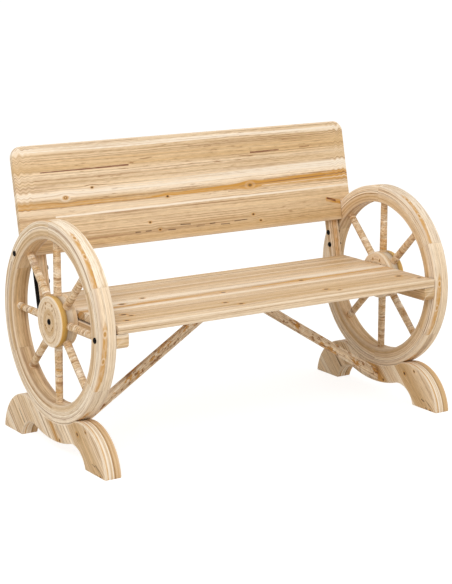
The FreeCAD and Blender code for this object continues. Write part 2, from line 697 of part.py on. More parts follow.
# Backrest: one wide board with rounded top corners, notched to pass the wheels
panelBody = doc.addObject("PartDesign::Body", "panel_blank")
panelSketch = bodySketch(panelBody, "XZ_Plane", "0")
panelHalf = "(Sizes.panelWidth / 2)"
panelHigh = "(Sizes.panelLow + Sizes.panelHeight)"
notchHigh = "(Sizes.panelLow + Sizes.panelNotch)"
drawCorners(panelSketch, [
    (f"-{seatEnd}", "Sizes.panelLow"),
    (seatEnd, "Sizes.panelLow"),
    (seatEnd, notchHigh),
    (panelHalf, notchHigh),
    (panelHalf, panelHigh),
    (f"-{panelHalf}", panelHigh),
    (f"-{panelHalf}", notchHigh),
    (f"-{seatEnd}", notchHigh),
])
panelPad = addPad(panelBody, panelSketch, "Sizes.panelThick")
cornerEdges = []
for place, edge in enumerate(panelPad.Shape.Edges, start=1):
    middle = edge.CenterOfMass
    atSide = abs(abs(middle.x) - number(panelHalf)) < 0.01
    atTop = abs(middle.z - number(panelHigh)) < 0.01
    if atSide and atTop:
        cornerEdges.append(f"Edge{place}")
panelRound = panelBody.newObject("PartDesign::Fillet", "panel_corners")
panelRound.Base = (panelPad, cornerEdges)
panelRound.setExpression("Radius", "Sizes.panelCorner")
panelBody.Tip = panelRound
doc.recompute()
easeFaces(panelBody, panelRound, FreeCAD.Vector(0, 1, 0), "Sizes.boardEase")
lean(panelBody)
panelCuts = group("panel_cuts", [rightBackScrews, leftBackScrews])
nodes.append(cut("backrest_panel", panelBody, panelCuts))

# Fasteners of both sides, one group for each kind
fastenerKinds = {
    "wheel_bolts": group("right_wheel_bolts", wheelBolts),
    "post_bolts": leaningPostBolts,
    "post_nuts": leaningPostNuts,
    "rail_bolts": leaningRailBolt,
    "foot_dowels": group("right_foot_dowels", footDowels),
    "brace_dowels": group("right_brace_dowels", braceDowels),
}
for label, rightSide in fastenerKinds.items():
    nodes.append(group(label, [rightSide, mirror(f"left_{label}", rightSide)]))
nodes.append(group("seat_screws", [rightEndScrews, leftEndScrews, middleScrewGroup]))
nodes.append(group("back_screws", [rightBackScrews, leftBackScrews]))
doc.recompute()

for item in doc.Objects:
    if "Invalid" in item.State or "Error" in item.State:
        raise RuntimeError(f"{item.Label} failed: {item.State}")
for node in nodes:
    if node.Shape.isNull() or not node.Shape.isValid() or not node.Shape.Solids:
        raise RuntimeError(f"{node.Label} has no sound solid")

os.makedirs("parts", exist_ok=True)
for node in nodes:
    node.Shape.exportStep(f"parts/{node.Label}.step")
print(f"{len(nodes)} sub-parts, {sum(len(node.Shape.Solids) for node in nodes)} solids")
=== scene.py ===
import math

import bpy
import numpy as np
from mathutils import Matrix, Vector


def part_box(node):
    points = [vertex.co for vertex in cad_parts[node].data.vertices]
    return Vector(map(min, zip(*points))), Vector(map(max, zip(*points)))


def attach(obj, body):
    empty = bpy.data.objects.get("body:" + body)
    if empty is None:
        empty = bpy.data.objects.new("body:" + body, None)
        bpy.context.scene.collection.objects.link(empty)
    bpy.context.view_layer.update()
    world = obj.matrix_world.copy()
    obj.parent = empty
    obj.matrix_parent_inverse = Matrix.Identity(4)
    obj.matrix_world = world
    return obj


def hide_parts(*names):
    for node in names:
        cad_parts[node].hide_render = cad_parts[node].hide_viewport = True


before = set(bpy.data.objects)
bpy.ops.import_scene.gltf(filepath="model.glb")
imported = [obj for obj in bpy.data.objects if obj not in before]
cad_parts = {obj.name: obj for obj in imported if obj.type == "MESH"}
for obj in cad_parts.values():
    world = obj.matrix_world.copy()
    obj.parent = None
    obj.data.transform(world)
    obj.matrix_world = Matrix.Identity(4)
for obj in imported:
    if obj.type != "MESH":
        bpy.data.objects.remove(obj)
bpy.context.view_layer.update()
scene = bpy.context.scene
scene.view_settings.view_transform = "Standard"
print("frame loaded:", len(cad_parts), "nodes")

sides = {"left": -1.0, "right": 1.0}

# shader nodes go into the tree that was opened last
canvas = {}


class Output:
    # an output of a node; each sign between outputs adds a math node
    def __init__(self, socket):
        self.socket = socket

    def __add__(self, other):
        return calc("ADD", self, other)

    def __sub__(self, other):
        return calc("SUBTRACT", self, other)

    def __rsub__(self, other):
        return calc("SUBTRACT", other, self)

    def __mul__(self, other):
        return calc("MULTIPLY", self, other)

    def __truediv__(self, other):
        return calc("DIVIDE", self, other)


def openTree(tree):
    tree.nodes.clear()
    canvas["tree"] = tree


def openMaterial(name):
    material = bpy.data.materials.new(name)
    material.use_nodes = True
    openTree(material.node_tree)
    return material


def plug(value, socket):
    if isinstance(value, Output):
        canvas["tree"].links.new(value.socket, socket)
    else:
        socket.default_value = value


def addNode(kind, inputs=None, **settings):
    node = canvas["tree"].nodes.new(kind)
    for name, value in settings.items():
        setattr(node, name, value)
    for place, value in (inputs or {}).items():
        plug(value, node.inputs[place])
    return node


def outputOf(kind, inputs=None, place=0, **settings):
    return Output(addNode(kind, inputs, **settings).outputs[place])


def outputsOf(kind, inputs=None, **settings):
    return {socket.name: Output(socket) for socket in addNode(kind, inputs, **settings).outputs}


def calc(operation, first, second=0.0):
    return outputOf("ShaderNodeMath", {0: first, 1: second}, operation=operation)


def combine(x, y, z):
    return outputOf("ShaderNodeCombineXYZ", {0: x, 1: y, 2: z})


def attribute(name):
    vector = outputsOf("ShaderNodeAttribute", attribute_name=name)["Vector"]
    return list(outputsOf("ShaderNodeSeparateXYZ", {0: vector}).values())


def cloud(vector, detail=2.0, roughness=0.5, scale=1.0):
    return outputOf("ShaderNodeTexNoise", {"Vector": vector, "Scale": scale, "Detail": detail,
                                           "Roughness": roughness})


def spread(value, fromMin=0.0, fromMax=1.0, toMin=0.0, toMax=1.0, kind="LINEAR"):
    return outputOf("ShaderNodeMapRange", {"Value": value, "From Min": fromMin, "From Max": fromMax,
                                           "To Min": toMin, "To Max": toMax}, interpolation_type=kind)


def smooth(value, low, high):
    return spread(value, low, high, kind="SMOOTHSTEP")


def mix(factor, first, second, blend="MIX"):
    return outputOf("ShaderNodeMix", {0: factor, 6: first, 7: second}, 2, data_type="RGBA", blend_type=blend)


def ramp(factor, stops):
    node = addNode("ShaderNodeValToRGB", {0: factor})
    elements = node.color_ramp.elements
    while len(elements) < len(stops):
        elements.new(0.5)
    for element, (place, colour) in zip(elements, stops.items()):
        element.position = place
        element.color = colour
    return Output(node.outputs[0])


def coat(colour, rough, height, bumps, gloss, metallic=0.0):
    # a surface whose bumps have a strength and a height in metres, led to the material's output
    bump = outputOf("ShaderNodeBump", {"Strength": bumps[0], "Distance": bumps[1], "Height": height})
    shader = outputOf("ShaderNodeBsdfPrincipled", {
        "Base Color": colour, "Roughness": rough, "Normal": bump, "Metallic": metallic, "Specular IOR Level": gloss})
    addNode("ShaderNodeOutputMaterial", {0: shader})


def openGroup(name, inputs, outputs):
    group = bpy.data.node_groups.new(name, "ShaderNodeTree")
    for way, sockets in (("INPUT", inputs), ("OUTPUT", outputs)):
        for socket in sockets:
            group.interface.new_socket(socket, in_out=way, socket_type="NodeSocketFloat")
    openTree(group)
    start = addNode("NodeGroupInput").outputs
    return group, {socket: Output(start[socket]) for socket in inputs}, addNode("NodeGroupOutput").inputs


def useGroup(group, values):
    return outputsOf("ShaderNodeGroup", values, node_tree=group)


def screenColour(red, green, blue):
    # a colour as it is seen on a screen, turned into the linear one that shaders take
    share = np.array([red, green, blue]) / 255.0
    linear = np.where(share <= 0.04045, share / 12.92, ((share + 0.055) / 1.055) ** 2.4)
    return (*linear.tolist(), 1.0)


# fir
white = screenColour(249, 237, 219)
cream = screenColour(237, 217, 190)
tan = screenColour(223, 198, 164)
warm = screenColour(210, 179, 136)
gold = screenColour(232, 188, 98)
orange = screenColour(205, 152, 74)
brown = screenColour(156, 113, 72)
red = screenColour(118, 64, 44)
dark = screenColour(84, 56, 35)
fullWhite = (1.0, 1.0, 1.0, 1.0)
# what fibres multiply the wood's colour by
lightFibre, darkFibre = (1.17, 1.17, 1.16, 1.0), (0.71, 0.625, 0.51, 1.0)
# each noise: its waves in a metre along and across the grain, its detail and its roughness
noises = {
    "longWander": (1.7, 3.5, 1.0, 0.5), "shortWander": (8.0, 16.0, 1.0, 0.5), "wobble": (42.0, 90.0, 1.0, 0.5),
    "patch": (20.0, 40.0, 4.0, 0.6), "smallPatch": (46.0, 90.0, 4.0, 0.62), "lineShare": (2.6, 55.0, 2.0, 0.5),
    "hair": (1.0, 270.0, 3.0, 0.62), "fleck": (44.0, 340.0, 2.0, 0.6), "broad": (2.4, 60.0, 2.0, 0.5),
    "fibre": (40.0, 1300.0, 2.0, 0.6), "dash": (19.0, 230.0, 3.0, 0.55), "dashField": (3.0, 14.0, 1.0, 0.5),
    "waver": (9.0, 0.0, 2.0, 0.5), "width": (11.0, 0.0, 1.0, 0.5), "mottle": (60.0, 160.0, 3.0, 0.6),
}
streakShares = {"hair": 0.68, "fleck": 0.22, "broad": 0.10}
knotMarks = ("Across", "Heart", "Rim", "Halo")
knotSizes = ("KnotAlong", "KnotAcross", "KnotSize", "Eye")
stripeSizes = ("First", "Last", "FirstAcross", "LastAcross", "FirstHalf", "LastHalf")


def knotGroup():
    # one knot: lines of the grain part round it; it has a dark heart, an orange rim and, by its eye's share,
    # a pale middle and a pale halo
    group, start, end = openGroup("firKnot", ("Along", *knotMarks, *knotSizes), knotMarks)
    size, eye = start["KnotSize"], start["Eye"]
    far = (start["Along"] - start["KnotAlong"]) / size
    off = (start["Across"] - start["KnotAcross"]) / size
    # the offset shrinks inside a bell that is longer along the grain than across it
    bell = calc("EXPONENT", far * far * -0.03 + off * off * -0.10)
    reach = calc("SQRT", far * far * 0.45 + off * off)
    hollow = smooth(reach, 0.75, 0.35) * eye
    found = {"Heart": smooth(reach, 1.0, 0.7) * (1.0 - hollow), "Rim": smooth(reach, 1.9, 1.1),
             "Halo": smooth(reach, 3.2, 2.2) * smooth(reach, 1.2, 1.8) * eye}
    plug(start["Across"] + off * size * (bell * -0.85), end["Across"])
    for mark, value in found.items():
        plug(calc("MAXIMUM", start[mark], value), end[mark])
    return group


def stripeGroup():
    # one stripe: its middle and half width run evenly from its first end to its last
    group, start, end = openGroup("firStripe", ("Along", "Across", *stripeSizes), ("Mask",))
    first, last, firstAcross, lastAcross, firstHalf, lastHalf = (start[size] for size in stripeSizes)
    share = spread(start["Along"], first, last)
    middle = spread(share, toMin=firstAcross, toMax=lastAcross)
    half = spread(share, toMin=firstHalf, toMax=lastHalf)
    off = calc("ABSOLUTE", start["Across"] - middle) / half
    inward = share * (1.0 - share) * (last - first)
    plug(smooth(off, 1.25, 0.55) * smooth(inward, 0.0, 0.0025), end["Mask"])
    return group


firKnot, firStripe = knotGroup(), stripeGroup()
firLook = {
    "bands": {0.0: cream, 0.2: tan, 0.4: cream, 0.5: white, 0.62: tan, 0.8: warm, 1.0: orange},
    "span": None,  # ring distances of the first and last band in metres, or none for chance bands
    "stray": 0.14,  # how far chance moves the bands, as a share of the span
    "bandScale": 30.0,  # chance bands in a metre
    "toneShade": orange,  # what a piece's tone above zero turns towards; below zero it is white
    "stripes": (),  # along and across at both ends, half widths, shade, force
    "stripeCover": (0.27, 0.9),  # the even share of a stripe's shade, and the share that follows the veins
    "knots": (),  # along, across, size and, if it has one, its eye's share
    "treadKnots": (),  # along and size of the knots in the streak on a wheel's tread
    "heartForce": 0.95,
    "rimForce": 0.75,
    "haloForce": 0.45,
    "warp": (0.010, 0.003, 0.0010),  # sizes of the long waves, the short waves and the wobble
    "lineGap": 0.0085,
    "lineDepth": 0.45,
    "streak": 0.85,
    "fibre": 0.5,
    "dash": 0.55,
    "patch": 0.0,  # rough sawn patches
    "edgeForce": (0.4, 0.85),  # of painted highlights on eased edges, and of dark seams and painted contact shade
    "rough": (0.52, 0.72),
    "bumps": (0.35, 0.0006),
    "gloss": 0.25,
}


def firMaterial(name, **changes):
    look = {**firLook, **changes}
    material = openMaterial(name)
    along, across, deep = attribute("grain")
    edge, seed, tone = attribute("pieceMark")

    def noise(kind, off):
        # noise over the grain, moved on by the piece's own seed
        alongWaves, acrossWaves, detail, roughness = noises[kind]
        return cloud(combine(along * alongWaves + seed, off * acrossWaves + seed, deep * acrossWaves + seed),
                     detail, roughness)

    def addKnot(marks, *knot):
        return useGroup(firKnot, {"Along": along, **marks, **dict(zip(knotSizes, knot))})

    def paint(factor, shade):
        return mix(factor, colour, shade)

    # the grain wanders: long waves, short waves and a fine wobble added to the distance across
    bent = across
    for kind, size in zip(("longWander", "shortWander", "wobble"), look["warp"]):
        bent = (noise(kind, across) - 0.5) * (2.0 * size) + bent
    marks = {"Across": bent, "Heart": 0.0, "Rim": 0.0, "Halo": 0.0}
    for knot in look["knots"]:
        marks = addKnot(marks, *knot)
    bent = marks["Across"]

    # rings: the distance from the pith, which runs along the grain; bands of colour follow them
    ring = calc("SQRT", bent * bent + deep * deep)
    place = smooth(cloud(combine(ring * look["bandScale"], along * 0.7, seed), 3.0, 0.55), 0.28, 0.72)
    if look["span"]:
        place = (place - 0.5) * look["stray"] + spread(ring, *look["span"])
    colour = ramp(place, look["bands"])
    colour = paint(calc("MAXIMUM", tone, 0.0), look["toneShade"])
    colour = paint(calc("MAXIMUM", tone * -1.0, 0.0), white)
    if look["patch"]:
        patch, smallPatch = noise("patch", bent), noise("smallPatch", bent)
        for source, low, high, shade in ((patch, 0.53, 0.58, orange), (smallPatch, 0.54, 0.60, brown),
                                         (patch, 0.46, 0.41, cream), (smallPatch, 0.44, 0.38, white)):
            colour = paint(smooth(source, low, high) * look["patch"], shade)

    # growth lines: a saw of the ring distance, each line darker towards its outer side
    uneven = cloud(combine(ring * 55.0, along * 0.3, seed)) * 4.0
    saw = calc("FRACT", ring * (1.0 / look["lineGap"]) + uneven)
    late = smooth(saw, 0.45, 0.9) * smooth(saw, 1.0, 0.92)
    colour = paint(late * (smooth(noise("lineShare", bent), 0.36, 0.66) * look["lineDepth"]), brown)

    # long hairlines, dark and pale, and short flecks, all drawn out along the grain
    hair, fleck, broad = (noise(kind, bent) * share for kind, share in streakShares.items())
    blend = hair + (fleck + broad)
    vein, streak, pale = smooth(blend, 0.42, 0.60), smooth(blend, 0.515, 0.60), smooth(blend, 0.485, 0.41)
    tint = mix(pale, mix(streak, fullWhite, darkFibre), lightFibre)
    colour = mix(look["streak"], colour, tint, "MULTIPLY")
    fibre = noise("fibre", bent)
    tint = mix(smooth(fibre, 0.3, 0.7), lightFibre, darkFibre)
    colour = mix(look["fibre"], colour, tint, "MULTIPLY")
    # short dark dashes in some fields
    dash = smooth(noise("dash", bent), 0.60, 0.70) * smooth(noise("dashField", across), 0.46, 0.62) * look["dash"]
    colour = paint(dash, brown)

    evenCover, veinCover = look["stripeCover"]
    for *sizes, shade, force in look["stripes"]:
        stripe = useGroup(firStripe, {"Along": along, "Across": bent, **dict(zip(stripeSizes, sizes))})
        colour = paint(stripe["Mask"] * (vein * (veinCover * force) + evenCover * force), shade)

    if look["treadKnots"]:
        # an orange streak that wavers along a wheel's tread, outlined in brown, with knots of its own
        presence, beside = attribute("streak")[:2]
        aside = (noise("waver", across) - 0.5) * 0.012 + beside
        for knotAlong, knotSize in look["treadKnots"]:
            marks = addKnot({**marks, "Across": aside}, knotAlong, 0.0, knotSize, 1.0)
        gap = calc("ABSOLUTE", aside) - (noise("width", across) * 0.010 + 0.0015) * presence
        mottle = smooth(noise("mottle", across), 0.40, 0.62)
        colour = paint(smooth(gap, 0.0015, -0.0015) * presence * (mottle * 0.35 + 0.6), orange)
        colour = paint(smooth(calc("ABSOLUTE", gap), 0.0013, 0.0003) * presence * mottle * 0.5, brown)
        shown = smooth(presence, 0.5, 0.9)
        marks = {mark: marks[mark] * shown for mark in knotMarks[1:]}

    if look["knots"] or look["treadKnots"]:
        colour = paint(marks["Halo"] * look["haloForce"], white)
        colour = paint(marks["Rim"] * look["rimForce"], orange)
        colour = paint(marks["Heart"] * look["heartForce"], dark)
    # eased edges get a painted highlight, and seams get a dark line: dark joints, and painted shade where parts meet
    paintedHighlight, seamAndContactShade = look["edgeForce"]
    colour = paint(calc("MAXIMUM", edge * paintedHighlight, 0.0), white)
    colour = paint(calc("MAXIMUM", edge * -seamAndContactShade, 0.0), dark)

    smoothest, roughest = look["rough"]
    coat(colour, spread(streak, toMin=smoothest, toMax=roughest), fibre * 0.5 + (late * 0.35 + dash * -1.2),
         look["bumps"], look["gloss"])
    return material


# meshes
alongX, alongY, alongZ = np.eye(3)
skin = 0.00012            # how far a planed face lies inside its drawn size
leastCorner = 0.0004
seedStep = 1.37           # how far apart neighbouring pieces lie in the noise
cornerSteps = 5


def spots(x, y, z):
    return np.stack(np.broadcast_arrays(x, y, z), -1)


def axes(points):
    return np.moveaxis(np.asarray(points), -1, 0)


def rise(value, low, span):
    # 0 up to a low value, then evenly to 1 over a span
    return np.clip((value - low) / span, 0, 1)


def quarter(radius, distance):
    # how far a quarter circle draws in at a distance from the end that it rounds off
    return radius - np.sqrt(np.clip(radius ** 2 - np.clip(radius - distance, 0, None) ** 2, 0, None))


def sectionLoop(halfA, halfB, corner, sharesA, sharesB):
    # a rectangle with round corners for each station: straight sides shared out, quarter circles at the corners
    halfA, halfB, corner = [np.array(size, float)[:, None] for size in np.broadcast_arrays(halfA, halfB, corner)]
    flatA, flatB = halfA - corner, halfB - corner
    acrossA, acrossB = 2.0 * sharesA - 1.0, 2.0 * sharesB - 1.0
    turn = np.linspace(0.0, np.pi / 2, cornerSteps + 1)[1:-1]
    loop, marks = [], []
    for place, (signA, signB) in enumerate(((1, 1), (-1, 1), (-1, -1), (1, -1))):
        if place % 2 == 0:
            side = (signA * halfA + 0 * acrossA, signA * acrossA * flatB)
        else:
            side = (-signB * acrossB * flatA, signB * halfB + 0 * acrossB)
        angle = turn + place * np.pi / 2
        arc = (signA * flatA + corner * np.cos(angle), signB * flatB + corner * np.sin(angle))
        loop += [np.stack(side, -1), np.stack(arc, -1)]
        # the marks carry the painted highlight: full on the round corners, half at the ends of the flat sides
        sideMark = np.zeros(side[0].shape[1])
        sideMark[[0, -1]] = 0.5
        marks += [sideMark, np.ones(len(turn))]
    loop = np.concatenate(loop, 1)
    return loop, np.tile(np.concatenate(marks), (len(loop), 1))


def barLoop(halfA, halfB, corner, inset, sharesA, sharesB, least=leastCorner):
    # the section of a planed bar, drawn in where its ends round off
    corner = np.maximum(corner - inset, least)
    return sectionLoop(halfA - skin - inset, halfB - skin - inset, corner, sharesA, sharesB)


def roundLoop(radius, around):
    # a circle for each station
    angle = np.linspace(0.0, 2 * np.pi, around, endpoint=False)
    return np.stack([np.outer(radius, np.cos(angle)), np.outer(radius, np.sin(angle))], -1)


def easedStations(length, step, ease):
    # distances along a piece, and how far its section draws in as its ends round off in quarter circles
    turn = np.linspace(0.0, np.pi / 2, 5)
    nose = ease * (1.0 - np.cos(turn))
    tuck = ease * (1.0 - np.sin(turn))
    middle = np.linspace(ease, length - ease, max(3, int(length / step)))[1:-1]
    distance = np.concatenate([nose, middle, length - nose[::-1]])
    return distance, np.concatenate([tuck, 0 * middle, tuck[::-1]])


def addStations(distance, inset, more):
    # further stations between those of a piece
    every = np.unique(np.round(np.append(distance, more), 6))
    return every, np.interp(every, distance, inset)


def drift(distance, seed, wave, size):
    # a slow uneven wave along a piece: four sines of chance lengths, from 0 to its size
    chance = np.random.default_rng(seed)
    lengths = wave * chance.uniform(0.5, 1.8, 4)
    phases = chance.uniform(0, 2 * np.pi, 4)
    return size * (0.5 + 0.125 * np.sin(2 * np.pi * distance[:, None] / lengths + phases).sum(1))


def closeLoops(rings):
    # quads between neighbouring loops, and a ladder of quads over the first and the last loop
    count, around = rings.shape[:2]
    lane = np.arange(count - 1)[:, None] * around
    spot = np.arange(around)
    after = np.roll(spot, -1)
    wall = np.stack([lane + spot, lane + after, lane + around + after, lane + around + spot], -1).reshape(-1, 4)
    rung = np.arange(around // 2 - 1)
    lid = np.stack([rung, rung + 1, around - 2 - rung, around - 1 - rung], -1)
    return np.concatenate([wall, lid[:, ::-1], lid + (count - 1) * around])


def outward(points, faces):
    # turns every face over if the enclosed volume comes out negative
    a, b, c, d = (points[faces[:, place]] for place in range(4))
    volume = (a * np.cross(b, c)).sum() + (a * np.cross(c, d)).sum()
    return faces if volume > 0 else faces[:, ::-1]


def makePiece(name, shells, material, nodes):
    # one mesh of closed shells, each with its loops, grain coordinates and marks for the wood
    points, faces, start = [], [], 0
    layers = {"grain": [], "pieceMark": [], "streak": []}
    for shell in shells:
        rings = shell["rings"]
        flat = rings.reshape(-1, 3)
        points.append(flat)
        faces.append(outward(flat, closeLoops(rings)) + start)
        start += len(flat)
        marks = spots(*(shell.get(part, 0.0) for part in ("edge", "seed", "tone")))
        for layer, values in (("grain", shell.get("grain", 0.0)), ("pieceMark", marks),
                              ("streak", shell.get("streak", 0.0))):
            layers[layer].append(np.broadcast_to(values, rings.shape).reshape(-1, 3))
    points, faces = np.concatenate(points), np.concatenate(faces)
    mesh = bpy.data.meshes.new(name)
    mesh.vertices.add(len(points))
    mesh.vertices.foreach_set("co", points.astype(np.float32).ravel())
    mesh.loops.add(faces.size)
    mesh.loops.foreach_set("vertex_index", faces.astype(np.int32).ravel())
    mesh.polygons.add(len(faces))
    mesh.polygons.foreach_set("loop_start", np.arange(0, faces.size, 4, dtype=np.int32))
    mesh.polygons.foreach_set("use_smooth", np.ones(len(faces), bool))
    for layer, values in layers.items():
        target = mesh.attributes.new(layer, "FLOAT_VECTOR", "POINT")
        target.data.foreach_set("vector", np.concatenate(values).astype(np.float32).ravel())
    mesh.update(calc_edges=True)
    mesh.validate()
    mesh.materials.append(material)
    piece = bpy.data.objects.new(name, mesh)
    scene.collection.objects.link(piece)
    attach(piece, "root")
    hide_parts(*nodes)


def woodPiece(name, fir, slot, node, **shell):
    # a piece of one shell that stands for one node
    makePiece(name, [shell], fir, [node])


def mapped(loop, centre, axisA, axisB):
    # section offsets set out along the two axes round each station's centre
    axisA, axisB = np.broadcast_to(axisA, centre.shape), np.broadcast_to(axisB, centre.shape)
    return centre[:, None] + loop[..., :1] * axisA[:, None] + loop[..., 1:] * axisB[:, None]


def even(steps):
    return np.linspace(0.0, 1.0, steps + 1)


def closeEnds(steps, near=0.03):
    # even shares with one more close to either end, for marks that stay at a corner
    return np.concatenate([[0.0, near], even(steps)[1:-1], [1.0 - near, 1.0]])


print("helpers ready")

# wheels
wheel = {"middle": 0.5475, "hub": 0.356, "radius": 0.270, "rimWidth": 0.049}
rimHalf = wheel["rimWidth"] / 2
rimMiddle = wheel["radius"] - rimHalf
wheelSpots = {side: np.array([sign * wheel["middle"], 0, wheel["hub"]]) for side, sign in sides.items()}
felloe = {"count": 6, "first": 30.0, "turn": 60.0, "step": 0.010, "corner": 0.0032, "joint": 0.0006, "groove": 0.0015,
          "uneven": (0.12, 0.0003), "unevenCorner": (0.08, 0.0012), "pith": 0.066, "seed": {"left": 11, "right": 31},
          "tones": (-0.05, -0.12, -0.04, -0.09, -0.02, 0.02), "shadedSideWarmth": {"left": 0.0, "right": 0.06},
          "glueHighlight": 0.6, "glueLine": -0.4, "jointLine": -0.45, "streakFrom": 0.074, "streakFade": 0.02,
          "streakSide": (-0.008, -0.018), "treadFrom": 0.017, "treadFade": 0.006}
felloeFir = firMaterial(
    "felloeFir", span=(felloe["pith"] - rimHalf, felloe["pith"] + rimHalf), stray=0.26, bandScale=70.0,
    bands={0.0: tan, 0.08: warm, 0.24: tan, 0.36: warm, 0.44: tan, 0.52: cream, 0.56: white,
           0.60: warm, 0.64: white, 0.72: white, 0.755: brown, 0.79: white, 0.86: white, 0.89: warm,
           0.92: white, 1.0: cream},
    treadKnots=((0.108, 0.0027), (0.173, 0.0025)), heartForce=0.55, haloForce=0.35,
    warp=(0.004, 0.002, 0.0007), lineGap=0.0095, lineDepth=0.6, streak=0.65)
# shares across the tread, close together round the glue line in its middle
grooveShares = np.array([0.0, 0.2, 0.4, 0.455, 0.48, 0.5, 0.52, 0.545, 0.6, 0.8, 1.0])
for side in sides:
    for place in range(felloe["count"]):
        # a square bar bent round the hub: its middle follows a circle, and its section turns with the radius
        seed = felloe["seed"][side] + place
        sweep = math.radians(felloe["turn"]) * rimMiddle
        distance, inset = easedStations(sweep, felloe["step"], felloe["joint"])
        angle = math.radians(felloe["first"] + felloe["turn"] * place) + distance / rimMiddle
        half = rimHalf - drift(distance, seed, *felloe["uneven"])
        corner = felloe["corner"] + drift(distance, seed + 50, *felloe["unevenCorner"])
        loop, edge = barLoop(half, half, corner, inset, grooveShares, even(6))
        # glue line: a shallow V in the middle of the tread
        tread = loop[:, :len(grooveShares)]
        tread[..., 0] -= np.clip(felloe["groove"] - np.abs(tread[..., 1]), 0.0, None)
        # painted highlight on both edges of the groove; the glue line between them stays dark
        edge[:, [3, 7]] = felloe["glueHighlight"]
        edge[:, 5] = felloe["glueLine"]
        edge[[0, 1, -2, -1]] = felloe["jointLine"]
        radial = spots(0.0, np.cos(angle), np.sin(angle))
        run = distance[:, None]
        # the streak: where it shows on the tread, and how far off its middle a point lies
        presence = (rise(run, felloe["streakFrom"], felloe["streakFade"])
                    * rise(loop[..., 0], felloe["treadFrom"], felloe["treadFade"]))
        middle = np.interp(run, (felloe["streakFrom"], sweep), felloe["streakSide"])
        # the right wheel's raised tone is painted warm shade on its inner faces
        woodPiece(f"{side}Felloe{place + 1}", felloeFir, "felloe_fir", f"{side}_felloe_{place + 1}",
                  rings=mapped(loop, wheelSpots[side] + rimMiddle * radial, radial, alongX),
                  grain=spots(run, loop[..., 0] + felloe["pith"], loop[..., 1]), edge=edge, seed=seed * seedStep,
                  tone=felloe["tones"][place] + felloe["shadedSideWarmth"][side],
                  streak=spots(presence, loop[..., 1] - middle, 0.0))
print("felloes done")

spoke = {"count": 8, "turn": 45.0, "from": 0.058, "to": 0.229, "taperFrom": 0.033, "taperTo": 0.236,
         "radii": (0.0115, 0.0100), "uneven": (0.06, 0.0005), "step": 0.008, "ease": 0.0008, "around": 28,
         "pith": 0.3, "skew": 0.12, "seed": {"left": 101, "right": 121}}
spokeFir = firMaterial(
    "spokeFir", bandScale=50.0, lineGap=0.017, lineDepth=0.85, warp=(0.003, 0.0012, 0.0005), streak=0.8, dash=0.3,
    patch=0.3, bands={0.14: white, 0.3: cream, 0.42: tan, 0.52: cream, 0.62: warm, 0.74: tan,
                      0.86: warm, 1.0: orange})
for side in sides:
    for place in range(spoke["count"]):
        # a round bar along a radius of the wheel, thinner evenly from hub to rim
        seed = spoke["seed"][side] + place
        distance, inset = easedStations(spoke["to"] - spoke["from"], spoke["step"], spoke["ease"])
        reach = spoke["from"] + distance
        radius = np.interp(reach, (spoke["taperFrom"], spoke["taperTo"]), spoke["radii"])
        loop = roundLoop(radius - inset - drift(distance, seed, *spoke["uneven"]), spoke["around"])
        angle = math.radians(spoke["turn"] * place)
        radial = np.array([0.0, math.cos(angle), math.sin(angle)])
        reach = reach[:, None]
        # the rings cross the spoke, a little askew
        woodPiece(f"{side}Spoke{place + 1}", spokeFir, "spoke_fir", f"{side}_spoke_{place + 1}",
                  rings=mapped(loop, wheelSpots[side] + reach * radial, alongX, np.cross(alongX, radial)),
                  grain=spots(loop[..., 0] * 2.0, reach + spoke["pith"] + spoke["skew"] * loop[..., 1], loop[..., 1]),
                  seed=seed * seedStep)
print("spokes done")

hub = {"radius": 0.0688, "outer": 0.574, "inner": 0.523, "joint": 0.5545, "ease": 0.0035, "jointEase": 0.0005,
       "around": 96, "lift": 0.0022, "shy": 0.0001, "oval": 0.86, "pith": (0.002, 0.0008, 0.003), "sideRing": 0.045,
       "rimHighlight": 1.6, "jointFree": 0.003, "jointLine": 0.7, "jointReach": 0.0008, "golden": 0.98,
       "goldenShadeBelow": 0.1, "innerGolden": 0.14, "seed": {"outer": 6.9, "inner": 11.0}}
hubFir = firMaterial(
    "hubFir", toneShade=gold, span=(0.0, 0.0735), stray=0.12, bandScale=60.0, lineGap=0.012, lineDepth=0.4,
    dash=0.3, streak=0.4, warp=(0.003, 0.0012, 0.0004),
    bands={0.0: warm, 0.2: tan, 0.36: warm, 0.46: tan, 0.54: cream, 0.60: cream, 0.63: warm,
           0.66: cream, 0.75: cream, 0.78: tan, 0.81: cream, 0.87: cream, 0.895: tan, 0.92: cream,
           1.0: white},
    knots=((0.046, 0.017, 0.0022), (0.033, 0.020, 0.0018), (0.020, 0.004, 0.0014), (-0.014, 0.022, 0.0019),
           (-0.020, 0.019, 0.0016)))
